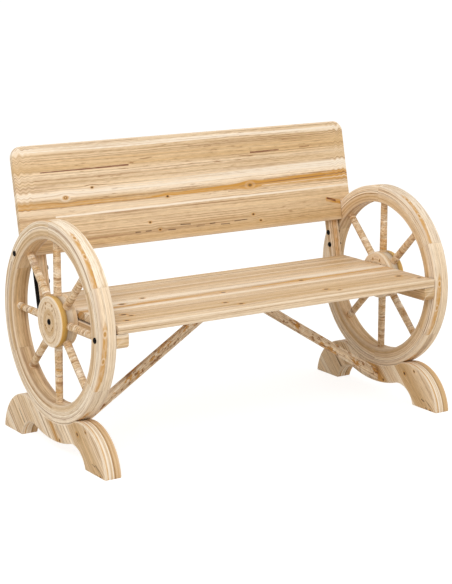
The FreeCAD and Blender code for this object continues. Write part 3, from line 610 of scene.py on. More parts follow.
for side, sign in sides.items():
    shells = []
    for disc, low, high, easeLow, easeHigh in (("outer", hub["joint"], hub["outer"], hub["jointEase"], hub["ease"]),
                                               ("inner", hub["inner"], hub["joint"], hub["ease"], hub["jointEase"])):
        # both rims are quarter circles, and both faces are filled with loops that close in on the middle
        turn = np.linspace(0.0, np.pi / 2, 7)
        closing = (hub["radius"] - hub["ease"]) * np.linspace(0.97, 0.05, 12)
        depth = np.concatenate([0 * closing + low, low + easeLow * (1 - np.cos(turn)),
                                high - easeHigh * (1 - np.cos(turn[::-1])), 0 * closing + high])
        tuck = np.concatenate([closing + easeLow, easeLow * (1 - np.sin(turn)),
                               easeHigh * (1 - np.sin(turn[::-1])), closing[::-1] + easeHigh])
        depth = np.clip(depth, low + hub["shy"], high - hub["shy"])
        loop = roundLoop(hub["radius"] - skin - tuck, hub["around"])
        centre = spots(sign * depth, 0.0, wheel["hub"] + hub["lift"])
        # the rings lie round the middle of each face; on the turned side they run round it
        onSide = tuck[:, None] < 0.35 * hub["ease"]
        angle = np.arctan2(loop[..., 1], loop[..., 0])
        turned = spots(angle * hub["radius"], hub["sideRing"] + 2.0 * (depth[:, None] - low), 0.0)
        pithAcross, leastRing, pithDeep = hub["pith"]
        flat = spots(loop[..., 1], np.abs(loop[..., 0] - pithAcross) + leastRing,
                     loop[..., 1] * hub["oval"] + pithDeep)
        fromJoint = np.abs(depth - hub["joint"])
        # the outer rims get a painted highlight, and the joint between the discs is a dark line
        eased = (tuck > 0.02 * hub["ease"]) & (tuck < 1.5 * hub["ease"]) & (fromJoint > hub["jointFree"])
        edge = 0 * angle + (hub["rimHighlight"] * eased)[:, None]
        edge -= (hub["jointLine"] * (fromJoint < hub["jointReach"]))[:, None] * onSide
        # the outer disc's turned side is golden, with painted shade making it deeper gold below
        golden = hub["golden"] - hub["goldenShadeBelow"] * np.sin(angle) if disc == "outer" else hub["innerGolden"]
        shells.append(dict(rings=mapped(loop, centre, alongY, alongZ), edge=edge, seed=hub["seed"][disc],
                           grain=np.where(onSide[..., None], turned, flat), tone=np.where(onSide, golden, 0.0)))
    makePiece(f"{side}Hub", shells, hubFir, [f"{side}_hub_outer_disc", f"{side}_hub_inner_disc"])
print("hubs done")

# feet
foot = {"inner": 0.523, "outer": 0.572, "corner": 0.003, "leastCorner": 0.0006, "ease": 0.002, "tread": 0.2703,
        "lobe": (0.155, -0.013), "lobeRadius": 0.13303, "arch": (0.115, -0.017), "archRadius": 0.06702,
        "web": 0.324, "grainTilt": 44.0, "pith": 0.6, "curveFrom": 1.0, "curvePith": 0.727, "curveSpread": 2.6,
        "curveShift": 0.004, "seed": {"left": 31, "right": 35}, "tone": {"left": 0.02, "right": 0.07}}
footFir = firMaterial(
    "footFir", toneShade=gold, span=(0.430, 0.860), stray=0.07, bandScale=34.0, lineGap=0.0105, lineDepth=0.6,
    dash=0.5, warp=(0.006, 0.002, 0.0007),
    bands={0.0: cream, 0.04: white, 0.09: cream, 0.16: tan, 0.2: cream, 0.28: tan, 0.36: cream,
           0.40: white, 0.46: cream, 0.485: warm, 0.51: orange, 0.53: warm, 0.57: cream, 0.595: white,
           0.64: cream, 0.69: white, 0.705: tan, 0.77: warm, 0.83: tan, 0.9: cream, 0.95: tan,
           1.0: cream},
    stripes=((-0.192, -0.142, 0.517, 0.517, 0.0008, 0.0022, dark, 1.3),
             (-0.24, -0.15, 0.452, 0.454, 0.002, 0.002, white, 0.8),
             (0.138, 0.154, 0.770, 0.778, 0.002, 0.0018, dark, 1.4),
             (0.166, 0.178, 0.770, 0.776, 0.0018, 0.0018, dark, 1.3),
             (0.150, 0.196, 0.784, 0.790, 0.0016, 0.0018, dark, 0.8),
             (-0.03, 0.08, 0.727, 0.724, 0.0016, 0.0012, white, 0.9),
             (0.9, 2.4, 0.697, 0.699, 0.0045, 0.0045, orange, 1.3),
             (0.9, 2.4, 0.710, 0.712, 0.006, 0.006, white, 1.3), (0.9, 2.4, 0.740, 0.738, 0.005, 0.006, white, 1.3),
             (0.9, 2.4, 0.751, 0.750, 0.0045, 0.004, brown, 1.0),
             (0.9, 2.4, 0.788, 0.784, 0.012, 0.010, orange, 0.7)),
    knots=((0.042, 0.759, 0.0042), (0.062, 0.800, 0.0028), (0.001, 0.662, 0.0034), (0.188, 0.781, 0.0038)))


def crossing(centreA, radiusA, centreB, radiusB):
    # where two circles cross, the higher of the two points
    span = np.subtract(centreB, centreA)
    gap = np.hypot(*span)
    share = (gap ** 2 + radiusA ** 2 - radiusB ** 2) / (2 * gap)
    height = math.sqrt(radiusA ** 2 - share ** 2)
    middle = np.add(centreA, span * share / gap)
    sideways = np.array([-span[1], span[0]]) * height / gap
    return max(middle + sideways, middle - sideways, key=lambda spot: spot[1])


def arcPoints(centre, radius, start, end, share):
    # points of a circle's arc, the angle shared out between its two ends
    first, last = (math.atan2(spot[1] - centre[1], spot[0] - centre[0]) for spot in (start, end))
    angle = first + (last - first) * share
    return np.stack([centre[0] + radius * np.cos(angle), centre[1] + radius * np.sin(angle)], -1)


hubSpot = (0.0, wheel["hub"])
firstHalf = np.linspace(0, 1, 15)[:-1]
lastHalf = 1 - np.concatenate([np.linspace(1, 0.02, 34), [0.012, 0.006, 0.002, 0.0]])


def footOutline(hubReach, circle):
    # one side of the outline: an arc round the hub out to where it meets a foot's circle, and that circle down
    # to the ground; then the same mirrored
    centre, radius = foot[circle], foot[circle + "Radius"]
    meet = crossing(hubSpot, hubReach, centre, radius)
    ground = (centre[0] + math.sqrt(radius ** 2 - centre[1] ** 2), 0.0)
    half = np.concatenate([arcPoints(hubSpot, hubReach, (0, wheel["hub"] - hubReach), meet, firstHalf),
                           arcPoints(centre, radius, meet, ground, lastHalf)])
    return np.concatenate([half[:0:-1] * np.array([-1.0, 1.0]), half])


# the upper side is cradle and lobes, the lower one web and arches; the section spans the two
upper, lower = footOutline(foot["tread"], "lobe"), footOutline(foot["web"], "arch")
span, middle = upper - lower, (upper + lower) / 2
length = np.hypot(*span.T)
# only the soles are eased: the web between the arches counts as far from them
archTop = crossing(hubSpot, foot["web"], foot["arch"], foot["archRadius"])
fromEnd = np.minimum(lower[:, 1], upper[:, 1]) * np.where(np.abs(lower[:, 0]) > archTop[0], 1.0, 9.0)
inset = quarter(foot["ease"], fromEnd)
loop, edge = barLoop(length / 2, (foot["outer"] - foot["inner"]) / 2, foot["corner"], inset, even(8), even(24),
                     foot["leastCorner"])
axis = spots(0.0, span[:, 0] / length, span[:, 1] / length)
tilt = math.radians(foot["grainTilt"])
runY, runZ = -math.cos(tilt), -math.sin(tilt)
curve = np.concatenate([[0.0], np.cumsum(np.hypot(*np.diff(upper, axis=0).T))])
onCurve = np.abs(np.abs(loop[..., 0]) - (length / 2)[:, None]) < foot["corner"] * 0.4 + skin + inset[:, None]
for side, sign in sides.items():
    centre = spots(sign * (foot["outer"] + foot["inner"]) / 2, middle[:, 0], middle[:, 1])
    rings = mapped(loop, centre, axis, alongX)
    y, z = rings[..., 1], rings[..., 2]
    # on the faces the grain slants; round the curved top and underside it runs with the curve
    slanted = spots(y * runY + z * runZ, y * runZ - z * runY + foot["pith"], 0.0)
    rounded = spots(curve[:, None] + foot["curveFrom"],
                    foot["curvePith"] + foot["curveSpread"] * (loop[..., 1] + foot["curveShift"]), 0.0)
    # the right foot's higher tone is painted warm shade on its inner face
    woodPiece(f"{side}Foot", footFir, "foot_fir", f"{side}_foot", rings=rings,
              grain=np.where(onCurve[..., None], rounded, slanted), edge=edge, seed=foot["seed"][side] * seedStep,
              tone=foot["tone"][side])
print("feet done")

# seat
seat = {"end": 0.5195, "top": 0.394, "under": 0.3715, "thick": 0.0225, "corner": 0.0024, "ease": 0.0022, "step": 0.02,
        "uneven": ((0.3, 0.0004), (0.25, 0.0002), (0.12, 0.001)), "slant": 1.2, "endOutline": -0.5, "endFace": -0.12,
        "yellow": 0.07}
yellowing = (-0.1, 0.5)   # where along the bench the wood starts to turn yellower, and over what length
boardPith = 0.6
seatBoards = {
    "front": dict(
        seed=3, bands={0.0: cream, 0.06: tan, 0.14: cream, 0.24: tan, 0.34: warm, 0.42: tan, 0.5: warm,
                       0.6: tan, 0.72: cream, 0.8: tan, 0.88: cream, 0.95: white, 1.0: cream},
        knots=((-0.442, 0.106, 0.00612), (-0.431, 0.092, 0.00564), (-0.467, 0.047, 0.00504), (-0.144, 0.080, 0.00504),
               (-0.116, 0.046, 0.00552), (0.183, 0.066, 0.00564), (0.208, 0.039, 0.0048), (0.462, 0.092, 0.00648),
               (0.496, 0.043, 0.00564)),
        stripes=((-0.52, 0.52, 0.160, 0.162, 0.006, 0.007, white, 0.6),
                 (-0.3, 0.52, 0.093, 0.096, 0.004, 0.007, warm, 0.5),
                 (-0.52, 0.1, 0.118, 0.112, 0.0025, 0.003, brown, 0.35),
                 (-0.2, 0.5, 0.128, 0.131, 0.002, 0.002, brown, 0.3))),
    "middle": dict(
        seed=6, bands={0.0: warm, 0.05: orange, 0.1: tan, 0.2: cream, 0.3: white, 0.42: cream,
                       0.52: tan, 0.6: cream, 0.72: tan, 0.85: warm, 1.0: tan},
        knots=((-0.386, 0.033, 0.00612), (-0.303, 0.065, 0.00504), (-0.080, 0.005, 0.00564), (0.193, 0.018, 0.00564)),
        stripes=((0.02, 0.52, 0.016, 0.028, 0.006, 0.012, orange, 0.8),
                 (-0.52, 0.52, 0.046, 0.052, 0.010, 0.012, white, 0.7),
                 (-0.52, 0.1, 0.004, 0.004, 0.003, 0.003, brown, 0.5))),
    "rear": dict(
        seed=9, bands={0.0: warm, 0.1: tan, 0.25: warm, 0.4: tan, 0.55: cream, 0.7: tan, 0.85: warm,
                       1.0: tan},
        knots=(), stripes=((-0.52, -0.16, 0.003, 0.003, 0.002, 0.002, dark, 0.7),
                           (-0.5, 0.5, 0.06, 0.055, 0.003, 0.004, brown, 0.35))),
}


def fromPith(marks, places):
    # knots or stripes set out from a board's edge: the given values of each become distances from the pith
    return [[value + boardPith if place in places else value for place, value in enumerate(mark)] for mark in marks]


for name, board in seatBoards.items():
    low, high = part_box(f"seat_{name}_board")
    width = high.y - low.y
    boardFir = firMaterial(
        f"{name}BoardFir", bands=board["bands"], span=(boardPith, boardPith + width), stray=0.16, bandScale=40.0,
        knots=fromPith(board["knots"], (1,)), stripes=fromPith(board["stripes"], (2, 3)), lineGap=0.0095,
        lineDepth=0.55, warp=(0.004, 0.001, 0.0004), dash=0.4, streak=0.75)
    # a flat bar along X, a little uneven in width, thickness and corners
    distance, inset = easedStations(2 * seat["end"], seat["step"], seat["ease"])
    wide, deep, blunt = (drift(distance, board["seed"] + place, *wave) for place, wave in enumerate(seat["uneven"]))
    loop, edge = barLoop(width / 2 - wide, seat["thick"] / 2 - deep, seat["corner"] + blunt, inset, even(3), even(24))
    centre = spots(distance - seat["end"], (low.y + high.y) / 2, seat["top"] - seat["thick"] / 2)
    rings = mapped(loop, centre, alongY, alongZ)
    x, y, z = axes(rings)
    # a dark outline round the end grain
    edge[[1, 2, -3, -2]] = seat["endOutline"]
    edge[[0, -1]] = seat["endFace"]
    woodPiece(f"{name}Board", boardFir, "seat_fir", f"seat_{name}_board", rings=rings,
              grain=spots(x, y - low.y + boardPith + seat["slant"] * (z - seat["top"]), 0.0), edge=edge,
              seed=board["seed"] * seedStep, tone=seat["yellow"] * rise(x, *yellowing))
print("seat done")

frameFir = firMaterial(
    "frameFir", bandScale=34.0, lineGap=0.008, lineDepth=0.55, warp=(0.006, 0.002, 0.0007),
    bands={0.0: white, 0.25: cream, 0.42: tan, 0.6: warm, 0.75: tan, 0.9: warm, 1.0: brown})
rail = {"inner": 0.4855, "outer": 0.523, "front": -0.267, "low": 0.3325, "high": 0.3715, "nose": 0.010,
        "corner": 0.0022, "ease": 0.0014, "shy": 0.0008, "step": 0.012, "skew": 0.35, "skewFrom": 0.5, "pith": 0.27,
        "markFrom": 0.002, "seatContactShade": -0.9, "wheelContactShade": -0.25, "seed": {"left": 41, "right": 45}}
lean = {"angle": math.radians(12.3), "offset": 0.1536, "hub": 0.356}


def leaned(local):
    # from the leaning frame to the bench's: turned about X and set on the posts' front plane
    x, y, z = axes(local)
    sine, cosine = math.sin(lean["angle"]), math.cos(lean["angle"])
    return spots(x, lean["offset"] + y * cosine + z * sine, lean["hub"] - y * sine + z * cosine)


for side, sign in sides.items():
    rearLow = lean["offset"] + math.tan(lean["angle"]) * (rail["low"] - lean["hub"])
    nose = rail["nose"] * (1 - np.cos(np.linspace(0.15, np.pi / 2, 8)))
    distance, inset = addStations(*easedStations(rearLow - rail["front"], rail["step"], rail["ease"]), nose)
    # the nose: a quarter circle lifts the lower edge towards the front
    low = rail["low"] + quarter(rail["nose"], distance)
    halfA = (rail["high"] - low) / 2 - rail["shy"] - inset
    halfB = (rail["outer"] - rail["inner"]) / 2 - rail["shy"] - inset
    corner = np.maximum(rail["corner"] - inset, leastCorner)
    loop, edge = sectionLoop(halfA, halfB, corner, closeEnds(5), closeEnds(5))
    centre = spots(sign * (rail["outer"] + rail["inner"]) / 2, rail["front"] + distance, (rail["high"] + low) / 2)
    rings = mapped(loop, centre, alongZ, alongX)
    # the rear end leans with the post
    rings[..., 1] += (distance / distance[-1])[:, None] * math.tan(lean["angle"]) * (rings[..., 2] - rail["low"])
    x, y, z = axes(rings)
    # painted shade: dark lines where the rail meets the seat and the wheel
    behind = distance[:, None] > rail["markFrom"]
    edge[behind & (loop[..., 0] > halfA[:, None] - rail["corner"] * 0.8)] = rail["seatContactShade"]
    besideWheel = sign * loop[..., 1] > halfB[:, None] - rail["corner"] * 0.3
    edge[behind & besideWheel & (loop[..., 0] < 0)] = rail["wheelContactShade"]
    woodPiece(f"{side}SeatRail", frameFir, "frame_fir", f"{side}_seat_rail", rings=rings,
              grain=spots(y + rail["skew"] * (x - sign * rail["skewFrom"]), z - rail["pith"], 0.0), edge=edge,
              seed=rail["seed"][side] * seedStep)

batten = {"corner": 0.0025, "ease": 0.002, "step": 0.015, "pith": (0.28, 0.03), "seed": 52.0, "tone": 0.03}
# a plain bar from front to back
low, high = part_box("seat_batten")
distance, inset = easedStations(high.y - low.y, batten["step"], batten["ease"])
loop, edge = barLoop((high.z - low.z) / 2, (high.x - low.x) / 2, batten["corner"], inset, even(4), even(5))
rings = mapped(loop, spots(0.0, low.y + distance, (low.z + high.z) / 2), alongZ, alongX)
x, y, z = axes(rings)
woodPiece("seatBatten", frameFir, "frame_fir", "seat_batten", rings=rings,
          grain=spots(y, z - batten["pith"][0], x - batten["pith"][1]), edge=edge, seed=batten["seed"],
          tone=batten["tone"])

# backrest
panel = {"half": 0.5595, "tongue": 0.5226, "low": 0.146, "notch": 0.2005, "high": 0.445, "round": 0.032,
         "thick": 0.016, "corner": 0.0028, "uneven": (71, 0.2, 0.001), "ease": 0.002, "slant": 0.6, "ripple": 0.0032,
         "rippleFrom": (0.48, 0.24), "rippleOver": (0.06, 0.08), "rippleWaves": (330.0, 190.0, 30.0),
         "notchShade": -0.7, "seed": 8.3, "yellow": 0.08}
panelStripes = (
    (-0.482, -0.2, 0.221, 0.224, 0.0014, 0.0022, red, 2.4), (0.212, 0.318, 0.227, 0.228, 0.0024, 0.0018, red, 2.4),
    (0.39, 0.43, 0.229, 0.231, 0.002, 0.0018, brown, 1.2), (0.468, 0.530, 0.066, 0.052, 0.0066, 0.0066, orange, 2.0),
    (0.472, 0.506, 0.069, 0.058, 0.0034, 0.004, red, 2.0), (-0.56, 0.56, 0.278, 0.284, 0.006, 0.0026, white, 1.3),
    (-0.56, -0.16, 0.292, 0.294, 0.0028, 0.0018, brown, 0.75), (0.1, 0.56, 0.2935, 0.2945, 0.0014, 0.002, brown, 0.6),
    (-0.56, 0.56, 0.156, 0.174, 0.010, 0.011, white, 0.95), (-0.56, -0.09, 0.131, 0.128, 0.009, 0.0035, orange, 0.85),
    (-0.56, -0.12, 0.1225, 0.1245, 0.0016, 0.0016, brown, 0.7),
    (-0.16, 0.56, 0.127, 0.137, 0.0016, 0.016, orange, 1.7), (-0.14, 0.46, 0.128, 0.135, 0.003, 0.008, orange, 2.0),
    (0.16, 0.56, 0.1305, 0.141, 0.0013, 0.0018, brown, 1.3), (0.24, 0.56, 0.127, 0.131, 0.0013, 0.0022, cream, 1.5),
    (0.12, 0.56, 0.119, 0.121, 0.0022, 0.0026, brown, 0.8), (0.25, 0.56, 0.144, 0.153, 0.0022, 0.0024, brown, 0.7),
    (-0.45, 0.56, 0.098, 0.104, 0.003, 0.0032, white, 1.4), (-0.56, 0.1, 0.112, 0.110, 0.006, 0.006, cream, 0.7),
    (-0.4, 0.5, 0.246, 0.250, 0.0016, 0.0016, brown, 0.45), (-0.5, 0.3, 0.200, 0.204, 0.0016, 0.0018, brown, 0.4),
    (0.0, 0.56, 0.262, 0.266, 0.0018, 0.0016, brown, 0.45))
panelDashes = (
    (-0.206, -0.186, 0.031, 0.030, 0.0022, 0.0022), (-0.172, -0.150, 0.031, 0.031, 0.0018, 0.0022),
    (-0.098, -0.070, 0.0275, 0.0265, 0.0019, 0.0018), (-0.055, -0.018, 0.039, 0.037, 0.0018, 0.0018),
    (-0.002, 0.030, 0.029, 0.030, 0.0019, 0.0015), (0.044, 0.066, 0.032, 0.032, 0.0018, 0.0019),
    (0.082, 0.116, 0.027, 0.026, 0.0018, 0.0015), (0.130, 0.178, 0.0315, 0.0325, 0.0019, 0.0015))
panelKnots = (
    (-0.412, 0.148, 0.0042, 1.0), (-0.326, 0.170, 0.0027), (-0.086, 0.124, 0.0032), (0.200, 0.131, 0.0046, 0.4),
    (-0.153, 0.055, 0.0028), (-0.123, 0.031, 0.0028), (0.200, 0.045, 0.0030), (0.224, 0.025, 0.0028))
panelFir = firMaterial(
    "panelFir", toneShade=gold, span=(boardPith, boardPith + panel["high"] - panel["low"]), stray=0.07,
    bandScale=44.0, lineGap=0.0105, lineDepth=0.62, dash=0.75, warp=(0.003, 0.0008, 0.0004), streak=0.72,
    bands={0.08: warm, 0.16: tan, 0.3: tan, 0.36: cream, 0.41: tan, 0.44: warm, 0.48: cream,
           0.54: white, 0.58: cream, 0.64: tan, 0.7: cream, 0.75: tan, 0.8: warm, 0.86: tan, 0.9: tan,
           0.94: white, 0.97: cream, 1.0: tan},
    stripes=fromPith((*panelStripes, *((*dash, dark, 0.75) for dash in panelDashes)), (2, 3)),
    knots=fromPith(panelKnots, (1,)), haloForce=0.35)
# stations across the panel, closer together at the ripples, the notches, the round corners and the ends
turn = np.linspace(0.0, np.pi / 2, 13)
halfX = np.unique(np.round(np.concatenate([
    np.linspace(0.0, panel["tongue"] - 0.03, 26), np.linspace(0.47, 0.512, 12),
    panel["tongue"] + np.array([-0.02, -0.01, -0.004, -0.0015, 0.0, 0.0004, 0.0012, 0.004]),
    panel["half"] - panel["round"] * (1 - np.sin(turn)),
    panel["half"] - panel["ease"] * (1 - np.cos(turn[::3]))]), 6))
acrossX = np.concatenate([-halfX[:0:-1], halfX])
gap = np.abs(acrossX)
inset = quarter(panel["ease"], panel["half"] - gap)
top = panel["high"] - quarter(panel["round"], panel["half"] - gap)
bottom = np.interp(gap, panel["tongue"] + np.array([-0.0015, 0.0, 0.0004, 0.0012]),
                   [panel["low"], panel["low"] + 0.0015, panel["notch"] - 0.0008, panel["notch"]])
# a flat bar along X between its top, a straight line with round ends, and its bottom, which steps up at the notches
loop, edge = barLoop((top - bottom) / 2, panel["thick"] / 2, panel["corner"] + drift(acrossX + 0.6, *panel["uneven"]),
                     inset, even(3), even(30))
local = mapped(loop, spots(acrossX, -panel["thick"] / 2, (top + bottom) / 2), alongZ, alongY)
x, y, z = axes(local)
# the grain ripples towards the panel's two upper ends: two sines, stronger further out and further up
endShare = (rise(np.abs(x), panel["rippleFrom"][0], panel["rippleOver"][0]) ** 1.5
            * rise(z, panel["rippleFrom"][1], panel["rippleOver"][1]))
quick, slow, climbing = panel["rippleWaves"]
ripple = panel["ripple"] * endShare * (np.sin(x * quick) + 0.6 * np.sin(x * slow + z * climbing))
# painted shade: a dark line down the tongue's ends below the notches, where they meet the wheels
edge[(np.abs(gap - panel["tongue"]) < 0.0014)[:, None] & (z < panel["notch"])] = panel["notchShade"]
woodPiece("backrestPanel", panelFir, "back_fir", "backrest_panel", rings=leaned(local), edge=edge, seed=panel["seed"],
          tone=panel["yellow"] * rise(x, *yellowing),
          grain=spots(x, z - panel["low"] + boardPith + ripple + panel["slant"] * (y + panel["thick"]), 0.0))

postFir = firMaterial(
    "postFir", bandScale=36.0, lineGap=0.009, lineDepth=0.5, dash=0.8, patch=0.2, warp=(0.006, 0.003, 0.001),
    bands={0.0: cream, 0.3: tan, 0.5: warm, 0.75: tan, 1.0: orange})
post = {"inner": 0.4825, "outer": 0.518, "depth": 0.0215, "low": -0.025, "high": 0.405, "corner": 0.0025,
        "ease": 0.002, "step": 0.015, "pith": (0.41, 0.02), "seed": {"left": 61, "right": 65}, "tone": -0.18}
for side, sign in sides.items():
    # a plain upright bar, leaned back
    distance, inset = easedStations(post["high"] - post["low"], post["step"], post["ease"])
    loop, edge = barLoop((post["outer"] - post["inner"]) / 2, post["depth"] / 2, post["corner"], inset, even(4),
                         even(6))
    centre = spots(sign * (post["inner"] + post["outer"]) / 2, post["depth"] / 2, post["low"] + distance)
    local = mapped(loop, centre, alongX, alongY)
    x, y, z = axes(local)
    woodPiece(f"{side}BackPost", postFir, "frame_fir", f"{side}_back_post", rings=leaned(local),
              grain=spots(z, x - sign * post["pith"][0], y + post["pith"][1]), edge=edge,
              seed=post["seed"][side] * seedStep, tone=post["tone"])
print("backrest done")

# braces
braceFir = firMaterial(
    "braceFir", bandScale=30.0, lineGap=0.007, lineDepth=0.5, dash=0.9, patch=1.0, warp=(0.010, 0.005, 0.001),
    bands={0.0: cream, 0.3: tan, 0.5: warm, 0.7: tan, 1.0: orange})
brace = {"low": 0.039, "cut": 0.0327, "tuck": 0.0194, "corner": 0.0022, "ease": 0.0006, "step": 0.012,
         "pith": (0.05, 0.012), "slope": 1.17, "paintedHighlight": 0.5, "seed": {"left": 81, "right": 85}, "tone": -0.45}
for side, sign in sides.items():
    low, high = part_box(f"{side}_brace")
    near, far = sorted((abs(low.x), abs(high.x)))
    climb = seat["under"] - brace["tuck"] - brace["low"]
    meet = (brace["cut"] - brace["tuck"]) * (far - near) / climb
    distance, inset = addStations(*easedStations(far - near, brace["step"], brace["ease"]), meet)
    # a slanting slat whose upper side turns level where it reaches the seat
    below = seat["under"] - brace["tuck"] - climb * distance / distance[-1]
    above = np.minimum(below + brace["cut"], seat["under"])
    loop, edge = barLoop((above - below) / 2, (high.y - low.y) / 2, brace["corner"], inset, even(5), even(3))
    centre = spots(sign * (near + distance), (low.y + high.y) / 2, (above + below) / 2)
    # the eased edges carry the painted highlight, scaled by the brace's share
    woodPiece(f"{side}Brace", braceFir, "frame_fir", f"{side}_brace", rings=mapped(loop, centre, alongZ, alongY),
              grain=spots(distance[:, None] * brace["slope"], loop[..., 0] + brace["pith"][0],
                          loop[..., 1] + brace["pith"][1]),
              edge=edge * brace["paintedHighlight"], seed=brace["seed"][side] * seedStep, tone=brace["tone"])
print("braces done")


# fasteners
def steelMaterial(name, colour, rough, gloss, metallic, speck):
    material = openMaterial(name)
    place = outputsOf("ShaderNodeTexCoord")["Object"]
    specks = cloud(place, 4.0, scale=240.0)
    shade = mix(smooth(specks, 0.6, 0.75) * speck, colour, screenColour(120, 116, 110))
    coat(shade, spread(specks, toMin=rough - 0.1, toMax=rough + 0.14), cloud(place, scale=1500.0), (0.2, 0.0002),
         gloss, metallic)
    return material


blackSteel = steelMaterial("blackSteel", screenColour(11, 10, 9), 0.55, 0.05, 0.0, 0.12)
zincSteel = steelMaterial("zincSteel", screenColour(186, 178, 160), 0.36, 0.2, 1.0, 0.4)


def turnedShell(seat, axis, depth, radius, hexed):
    # loops round an axis at set depths; the marked ones are hexagons whose sides lie at the radius
    angle = np.linspace(0.0, 2 * np.pi, 48, endpoint=False)
    hexagon = 1.0 / np.cos((angle + np.pi / 6) % (np.pi / 3) - np.pi / 6)
    loop = np.asarray(radius)[:, None] * np.where(np.asarray(hexed)[:, None], hexagon, 1.0)
    sideA = np.cross(axis, alongZ)
    sideA = sideA / np.linalg.norm(sideA)
    loop = np.stack([loop * np.cos(angle), loop * np.sin(angle)], -1)
    return dict(rings=mapped(loop, seat + np.asarray(depth)[:, None] * axis, sideA, np.cross(axis, sideA)))


bolt = {"head": 0.0075, "thick": 0.0025, "key": 0.0025, "keyDepth": 0.0018, "round": 0.0009, "tip": 0.001}


def boltShell(seat, axis, shank, length):
    # shank, head with a rounded rim, and a hexagon key
    turn = np.linspace(0.0, np.pi / 2, 6)
    thick, head, key = bolt["thick"], bolt["head"], bolt["key"]
    depth = [-length, -length + bolt["tip"], -0.0001, 0.0, *(thick - bolt["round"] * (1 - np.sin(turn))),
             thick, thick, thick - bolt["keyDepth"]]
    radius = [shank - bolt["tip"], shank, shank, head, *(head - bolt["round"] * (1 - np.cos(turn))),
              key * 1.25, key * 1.045, key * 0.9975]
    return turnedShell(seat, axis, depth, radius, np.arange(len(depth)) >= len(depth) - 2)


nut = {"half": 0.0038, "thick": 0.0012, "sunk": 0.0003, "rim": 0.88, "proud": (0.0006, 0.0008),
       "end": (0.0031, 0.003, 0.0024)}


def nutShell(seat, axis):
    # a low hexagon nut, its outer rim turned down, the bolt's end standing a little proud
    thick, half = nut["thick"], nut["half"]
    depth = [0.0, thick * 0.75, thick, thick, *(thick + proud for proud in nut["proud"])]
    radius = [half, half, half * nut["rim"], *nut["end"]]
    return turnedShell(seat, axis, depth, radius, np.arange(len(depth)) < 3)


strap = {"inner": 0.5181, "bulge": 0.0047, "middle": {"left": 0.0105, "right": 0.0135}, "half": 0.0095, "low": -0.014,
         "high": 0.174, "ease": 0.002, "step": 0.010}
for side, sign in sides.items():
    # a half oval bar on the post's outer side: a half ellipse drawn along the leaning post
    distance, inset = easedStations(strap["high"] - strap["low"], strap["step"], strap["ease"])
    angle = np.linspace(0.0, np.pi, 24)
    flatBack = np.linspace(-1.0, 1.0, 8)[1:-1]
    profileX, profileY = np.append(np.sin(angle), 0 * flatBack), np.append(np.cos(angle), flatBack)
    inset = inset[:, None]
    local = spots(sign * (strap["inner"] + profileX * (strap["bulge"] - inset)),
                  strap["middle"][side] + profileY * (strap["half"] - inset), (strap["low"] + distance)[:, None])
    makePiece(f"{side}PostStrap", [dict(rings=leaned(local))], blackSteel, [f"{side}_post_strap"])

# where the bolts sit, their shanks' radii and lengths
wheelBolt = {"front": (-0.243, 0.359), "rear": tuple(leaned([0.0, 0.0125, 0.15846])[1:]), "sizes": (0.004, 0.076)}
postBolt = {"back": 0.0085, "rises": (0.073, 0.110), "sizes": (0.003, 0.038)}
railBolt = {"share": 0.7, "sizes": (0.004, 0.070)}
wheelBolts, postBolts, postNuts, railBolts = [], [], [], []
for side, sign in sides.items():
    for seatX, spot in ((hub["outer"], (0.0, wheel["hub"] + hub["lift"])), (foot["outer"], wheelBolt["front"]),
                        (foot["outer"], wheelBolt["rear"])):
        wheelBolts.append(boltShell((sign * (seatX - skin), *spot), alongX * sign, *wheelBolt["sizes"]))
    # the nuts stand at the strap's height where the bolts pass through it
    across = (postBolt["back"] - strap["middle"][side]) / strap["half"]
    nutX = strap["inner"] + strap["bulge"] * math.sqrt(1 - across ** 2) - nut["sunk"]
    for height in postBolt["rises"]:
        spot = leaned([sign * (post["inner"] + skin), postBolt["back"], height])
        postBolts.append(boltShell(spot, alongX * -sign, *postBolt["sizes"]))
        postNuts.append(nutShell(leaned([sign * nutX, postBolt["back"], height]), alongX * sign))
    boltX = rail["outer"] - railBolt["share"] * (rail["outer"] - rail["inner"])
    boltRise = ((rail["low"] + rail["high"]) / 2 - lean["hub"]) * math.cos(lean["angle"])
    spot = leaned([sign * boltX, post["depth"] - skin, boltRise])
    railBolts.append(boltShell(spot, leaned(alongY) - leaned(np.zeros(3)), *railBolt["sizes"]))
makePiece("postNuts", postNuts, blackSteel, ["post_nuts"])
makePiece("wheelBolts", wheelBolts, blackSteel, ["wheel_bolts"])
makePiece("postBolts", postBolts, blackSteel, ["post_bolts"])
makePiece("railBolts", railBolts, blackSteel, ["rail_bolts"])

# dowels, out of sight in their joints: fine lines on the piece's own coordinates
dowelFir = openMaterial("dowelFir")
fibre = cloud(outputOf("ShaderNodeMapping", {"Vector": outputsOf("ShaderNodeTexCoord")["Object"],
                                             "Scale": (260.0, 260.0, 20.0)}), 4.0)
coat(ramp(fibre, {0.3: cream, 0.5: tan, 0.75: brown}), 0.6, fibre,
     (0.3, 0.0004), 0.5)
for node, material in (("seat_screws", zincSteel), ("back_screws", zincSteel), ("foot_dowels", dowelFir),
                       ("brace_dowels", dowelFir)):
    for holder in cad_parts[node].material_slots:
        holder.material = material
print("fasteners done")

# studio
studio = {"floor": 30.0, "floorShow": 0.80, "floorShade": (0.42, 0.42, 0.42, 1.0), "sky": 0.58,
          "skyTint": (1.0, 0.96, 0.90, 1.0), "aim": (0.0, 0.0, 0.4)}
# each lamp's place, size and power
lamps = {"keyLamp": ((-2.6, -2.2, 2.9), 1.8, 66.0), "fillLamp": ((2.4, -3.0, 1.8), 2.4, 20.0),
         "topLamp": ((0.3, -0.4, 3.4), 2.6, 16.0)}
view = {"lens": 103.4, "sensor": 36.0, "shift": (0.0436, -0.021), "place": (-2.561, -3.8315, 1.406), "dip": 0.214,
        "turn": -0.571}


